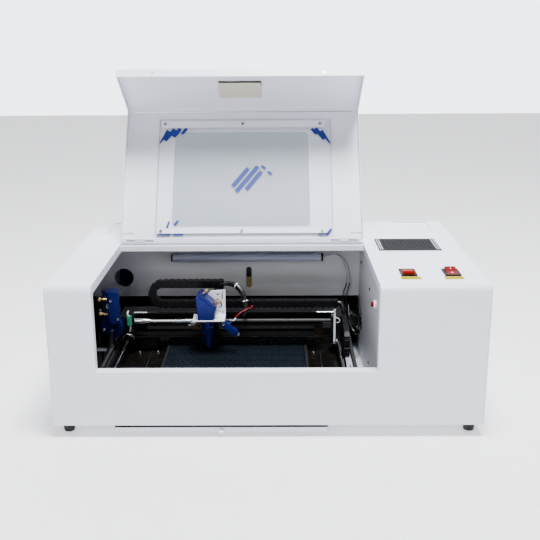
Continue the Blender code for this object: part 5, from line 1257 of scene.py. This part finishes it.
KNOB_RADIUS, KNURLS = 0.0067, 24
turn = np.linspace(0.0, 2 * math.pi, 4 * KNURLS, endpoint=False)
knurl = KNOB_RADIUS * (1.0 + 0.035 * np.sign(np.cos(KNURLS * turn)))
knob_x, knob_z = -0.159, 0.1388
rim = plate(np.stack((knurl * np.cos(turn), knurl * np.sin(turn)), axis=-1), 0.0, 0.0072)
crown = turned([(0.0058, 0.0070), (0.0052, 0.0083), (0.0030, 0.0085), (0.0028, 0.0078), (0.0, 0.0078)], 32)
stem = turned([(0.0, -0.0052), (0.0020, -0.0052), (0.0020, 0.0002), (0.0, 0.0002)], 16)
knob = piece("clamp_knob", aimed(gathered(rim, crown, stem), (knob_x, 0.2035, knob_z), (0, -1, 0)),
             BRIGHT_STEEL, "clamp_screw", smooth_deg=30)
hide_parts("focus_clamp_screw")
OUT = (0.66, -0.22, 0.72)
short_thumb = thumbscrew(0.0032, 0.0019, 0.0150)
thumb_places = ((-0.1375, 0.1950, 0.2035), (-0.1150, 0.2010, 0.1815), (-0.1110, 0.1925, 0.1775))
piece("head_thumbscrews", gathered(*[aimed(short_thumb, place, OUT) for place in thumb_places]),
      BRASS, "carriage", smooth_deg=45)
print("knob at", (knob_x, knob_z))

# %% [markdown]
# ## The laser pointer
#
# The pointer is clamped to the head and tilts down to the right. Its tip is placed along
# its own axis, worked out from the tilt; its pivot screw and its nut sit at fixed offsets from the pivot.

# %% Pointer fittings
POINTER_TILT = 38.0
down = np.array((math.cos(math.radians(POINTER_TILT)), 0.0, -math.sin(math.radians(POINTER_TILT))))
pivot = np.array((head_x + 0.0335, head_y - 0.005, 0.1360))
tip = turned([(0.0, 0.0), (0.0036, 0.0), (0.0036, 0.0030), (0.0028, 0.0042), (0.0016, 0.0044),
              (0.0, 0.0036)], 20)
TIP_AWAY = 0.0366
piece("pointer_tip", aimed(tip, pivot + (0.0, 0.0005, 0.0) + down * TIP_AWAY, tuple(down)), BRIGHT_STEEL,
      "pointer", smooth_deg=45)
screws("pointer_screw", [tuple(pivot + (0.0, -0.0055, 0.0))], (0, -1, 0), 0.0036, BRIGHT_STEEL,
       "pointer")
piece("pointer_nut", aimed(thumbscrew(0.0046, 0.0024, 0.0105), tuple(pivot + (0.0125, 0.0010, 0.0005)),
                           (0.45, -0.1, 0.9)), BRIGHT_STEEL, "pointer", smooth_deg=45)
red = smooth_path([(-0.0760, 0.2030, 0.1410), (-0.0690, 0.2030, 0.1510), (-0.0580, 0.2060, 0.1600),
                   (-0.0450, 0.2130, 0.1650), (-0.0350, 0.2300, 0.1640), (-0.0380, 0.2480, 0.1600)])
piece("pointer_wire", hose(red, 0.0009, 8), WIRE_RED, "carriage", smooth_deg=70)
tuft = smooth_path([(-0.0760, 0.2030, 0.1410), (-0.0725, 0.2010, 0.1440), (-0.0700, 0.2015, 0.1480)])
piece("pointer_wire_sleeve", hose(tuft, 0.0019, 8), CLEAR_CLIP, "carriage", smooth_deg=70)
print("pointer tilts down", POINTER_TILT, "degrees")

# %% [markdown]
# ## From the chain to the head
#
# Three black hoses leave the chain in one arc and drop behind the head. They are one
# curve moved a few millimetres sideways for each hose, held by two pale ties, which are
# short tubes that face along the arc.

# %% Bundle from the chain to the head
bundle = np.array([(-0.1040, 0.2700, 0.2040), (-0.0860, 0.2690, 0.2065), (-0.0690, 0.2620, 0.2030),
                   (-0.0560, 0.2520, 0.1900), (-0.0490, 0.2420, 0.1740), (-0.0470, 0.2330, 0.1580),
                   (-0.0500, 0.2300, 0.1470)])
lanes = [((0.0, 0.0, 0.0), 0.0034), ((-0.0010, -0.0058, 0.0006), 0.0026),
         ((-0.0042, -0.0030, -0.0040), 0.0024)]
hoses = [hose(smooth_path(bundle + np.array(shift), 8), radius, 12) for shift, radius in lanes]
piece("head_bundle", gathered(*hoses), WIRE_BLACK, "carriage", smooth_deg=70)
tie = [aimed(turned([(0.0052, -0.0012), (0.0060, -0.0012), (0.0060, 0.0012), (0.0052, 0.0012)], 20),
             bundle[k] + (-0.0015, -0.0025, -0.001), bundle[k + 1] - bundle[k - 1]) for k in (2, 4)]
piece("bundle_ties", gathered(*tie), CLEAR_CLIP, "carriage")
print("bundle", round(length_of(bundle), 3), "m long")

# %% [markdown]
# ## The work space walls and floor
#
# The cut edges of the partition show as pale rims, where the coat is thin. The screws
# that hold the right wall come through it, and dark hoses lie behind the gantry.

# %% Rims, wall screws and deck fittings
RIM_PALE = moulded("cut_edge", (0.50, 0.50, 0.52), 0.35)
turn = np.linspace(0.0, 2 * math.pi, 49)
RIM_Y, PORT_RADIUS = 0.3996, 0.0222
hole = np.stack((-0.338 + PORT_RADIUS * np.cos(turn), np.full(len(turn), RIM_Y),
                 0.1795 + PORT_RADIUS * np.sin(turn)), axis=-1)
piece("hole_rim", hose(hole, 0.0007, 8), RIM_PALE, "cabinet")
slot_outline = rounded(0.0136, 0.0516, 0.0067, (-0.0475, 0.1795), 9)
slot_outline = np.vstack((slot_outline, slot_outline[:1]))
slot_path = np.stack((slot_outline[:, 0], np.full(len(slot_outline), RIM_Y), slot_outline[:, 1]), axis=-1)
piece("slot_rim", hose(slot_path, 0.0008, 8), RIM_PALE, "cabinet")
piece("slot_shade", box((-0.0570, 0.4022, 0.1800), (-0.0380, 0.4030, 0.2080)), BLACK_COAT, "cabinet")
TAN = moulded("tube_coolant", (0.30, 0.215, 0.075), 0.35, 200.0, 0.00003)
piece("slot_tan", box((-0.0570, 0.4022, 0.1510), (-0.0380, 0.4030, 0.1798)), TAN, "cabinet")
piece("left_bracket", box((-0.3680, 0.1950, 0.0760), (-0.3470, 0.2120, 0.0785)), BRACKET_COAT, "cabinet",
      bevel=0.0003)
piece("left_bracket_leg", box((-0.3600, 0.2080, 0.0030), (-0.3560, 0.2105, 0.0762)), BLACK_COAT, "cabinet",
      bevel=0.0003)
RIGHT_WALL_X, DECK_Z = 0.2097, 0.0562
wall_screw_yz = ((0.3730, 0.2220), (0.1886, 0.2155), (0.1782, 0.0560), (0.3300, 0.0900))
screws("wall_screws", [(RIGHT_WALL_X, y, z) for y, z in wall_screw_yz], (-1, 0, 0), 0.0030, BLACK_COAT,
       "cabinet")
deck_screw_xy = ((-0.2830, 0.2440), (-0.2430, 0.2440), (0.0965, 0.2380))
screws("deck_screws", [(x, y, DECK_Z) for x, y in deck_screw_xy], (0, 0, 1), 0.0033, BRIGHT_STEEL,
       "cabinet")
# Two thin bright lines on the deck, drawn as bright steel rods.
strips = gathered(hose(np.linspace((-0.2565, 0.1000, 0.0572), (-0.2565, 0.2450, 0.0572), 4), 0.0009, 8),
                  hose(np.linspace((0.1105, 0.0900, 0.0572), (0.1105, 0.2330, 0.0572), 4), 0.0012, 8))
piece("deck_rods", strips, BRIGHT_STEEL, "cabinet")
loops = [[(0.1830, 0.3800, 0.1180), (0.1840, 0.3600, 0.0970), (0.1900, 0.3380, 0.0850),
          (0.1990, 0.3260, 0.0820), (0.2050, 0.3420, 0.0900), (0.2045, 0.3720, 0.1000)],
         [(0.1815, 0.3760, 0.1060), (0.1840, 0.3480, 0.0850), (0.1930, 0.3260, 0.0700),
          (0.2030, 0.3350, 0.0640), (0.2050, 0.3600, 0.0600)]]
piece("bay_hoses", gathered(*[hose(smooth_path(loop, 8), 0.0034, 12) for loop in loops]), WIRE_BLACK,
      "cabinet", smooth_deg=70)
MATT_BLACK = dust_and_sheen_coat("matt_black", (0.002, 0.002, 0.0022), 0.70, (0.006, 0.006, 0.006))
# Painted shade: a matt black sheet fills the opening under the partition, and a black strip on the floor and the
# left wall darkens the left of the work space.
piece("rear_shroud", box((-0.4100, 0.4320, 0.0030), (0.2090, 0.4330, 0.1500)), MATT_BLACK, "cabinet")
piece("left_floor_mat", gathered(box((-0.4120, 0.0040, 0.0017), (-0.3360, 0.4315, 0.0027)),
                                 box((-0.4132, 0.0040, 0.0017), (-0.4122, 0.4315, 0.1330))), MATT_BLACK,
      "cabinet")
tray_low, tray_high = span("waste_tray")
piece("tray_seal", box((tray_low[0], 0.0006, -0.0046), (tray_high[0], 0.0016, -0.0003)), MATT_BLACK, "cabinet")
print("walls and deck fitted")

# %% [markdown]
# ## Floor and light
#
# The machine stands on a plain pale floor. Broad soft lights stand in for a studio: a
# large one overhead, a weak one in front to lift the faces that the camera sees, and a
# surround that is bright behind the machine and nearly dark before it, so that the open
# work space keeps its deep blacks.

# %% Floor, surround and lights
STAGE_HALF = 6.0
floor_mesh = bpy.data.meshes.new("pale_floor")
stage_corners = np.array(((-1, -1, 0), (1, -1, 0), (1, 1, 0), (-1, 1, 0))) * STAGE_HALF
floor_mesh.from_pydata(stage_corners.tolist(), [], [(0, 1, 2, 3)])
floor_mesh.materials.append(FLOOR_PAINT)
floor = bpy.data.objects.new("pale_floor", floor_mesh)
bpy.context.scene.collection.objects.link(floor)

world = bpy.data.worlds.new("studio")
bpy.context.scene.world = world
world.use_nodes = True
sky = world.node_tree
background = sky.nodes["Background"]
heading = sky.nodes.new("ShaderNodeTexCoord")
split = sky.nodes.new("ShaderNodeSeparateXYZ")
band = sky.nodes.new("ShaderNodeValToRGB")
sky.links.new(heading.outputs["Generated"], split.inputs["Vector"])
sky.links.new(split.outputs["Y"], band.inputs["Fac"])
sky.links.new(band.outputs["Color"], background.inputs["Color"])
SURROUND = 4.5
AMBIENT = 0.04
for stop, place, colour in zip(band.color_ramp.elements, (0.35, 0.85),
                               ((AMBIENT * 0.97, AMBIENT * 0.98, AMBIENT), (0.91, 0.945, 1.0))):
    stop.position = place
    stop.color = (*colour, 1.0)
background.inputs["Strength"].default_value = SURROUND


def soft_light(name, at, towards, size, power, tint=(1.0, 1.0, 1.0)):
    """A square area light at a point, turned to face another point."""
    lamp = bpy.data.lights.new(name, "AREA")
    lamp.size = size
    lamp.energy = power
    lamp.color = tint
    holder = bpy.data.objects.new(name, lamp)
    bpy.context.scene.collection.objects.link(holder)
    aim = Vector(towards) - Vector(at)
    holder.matrix_world = Matrix.Translation(at) @ aim.to_track_quat("-Z", "Y").to_matrix().to_4x4()
    return holder


soft_light("key", (0.25, -0.60, 2.8), (0.0, -0.05, 0.3), 0.9, 212.0, (0.94, 0.965, 1.0))
soft_light("front_fill", (-0.9, -2.6, 1.7), (0.0, 0.0, 0.2), 1.2, 22.0, (1.0, 0.985, 0.97))
print("lights:", [light.name for light in bpy.data.lights])
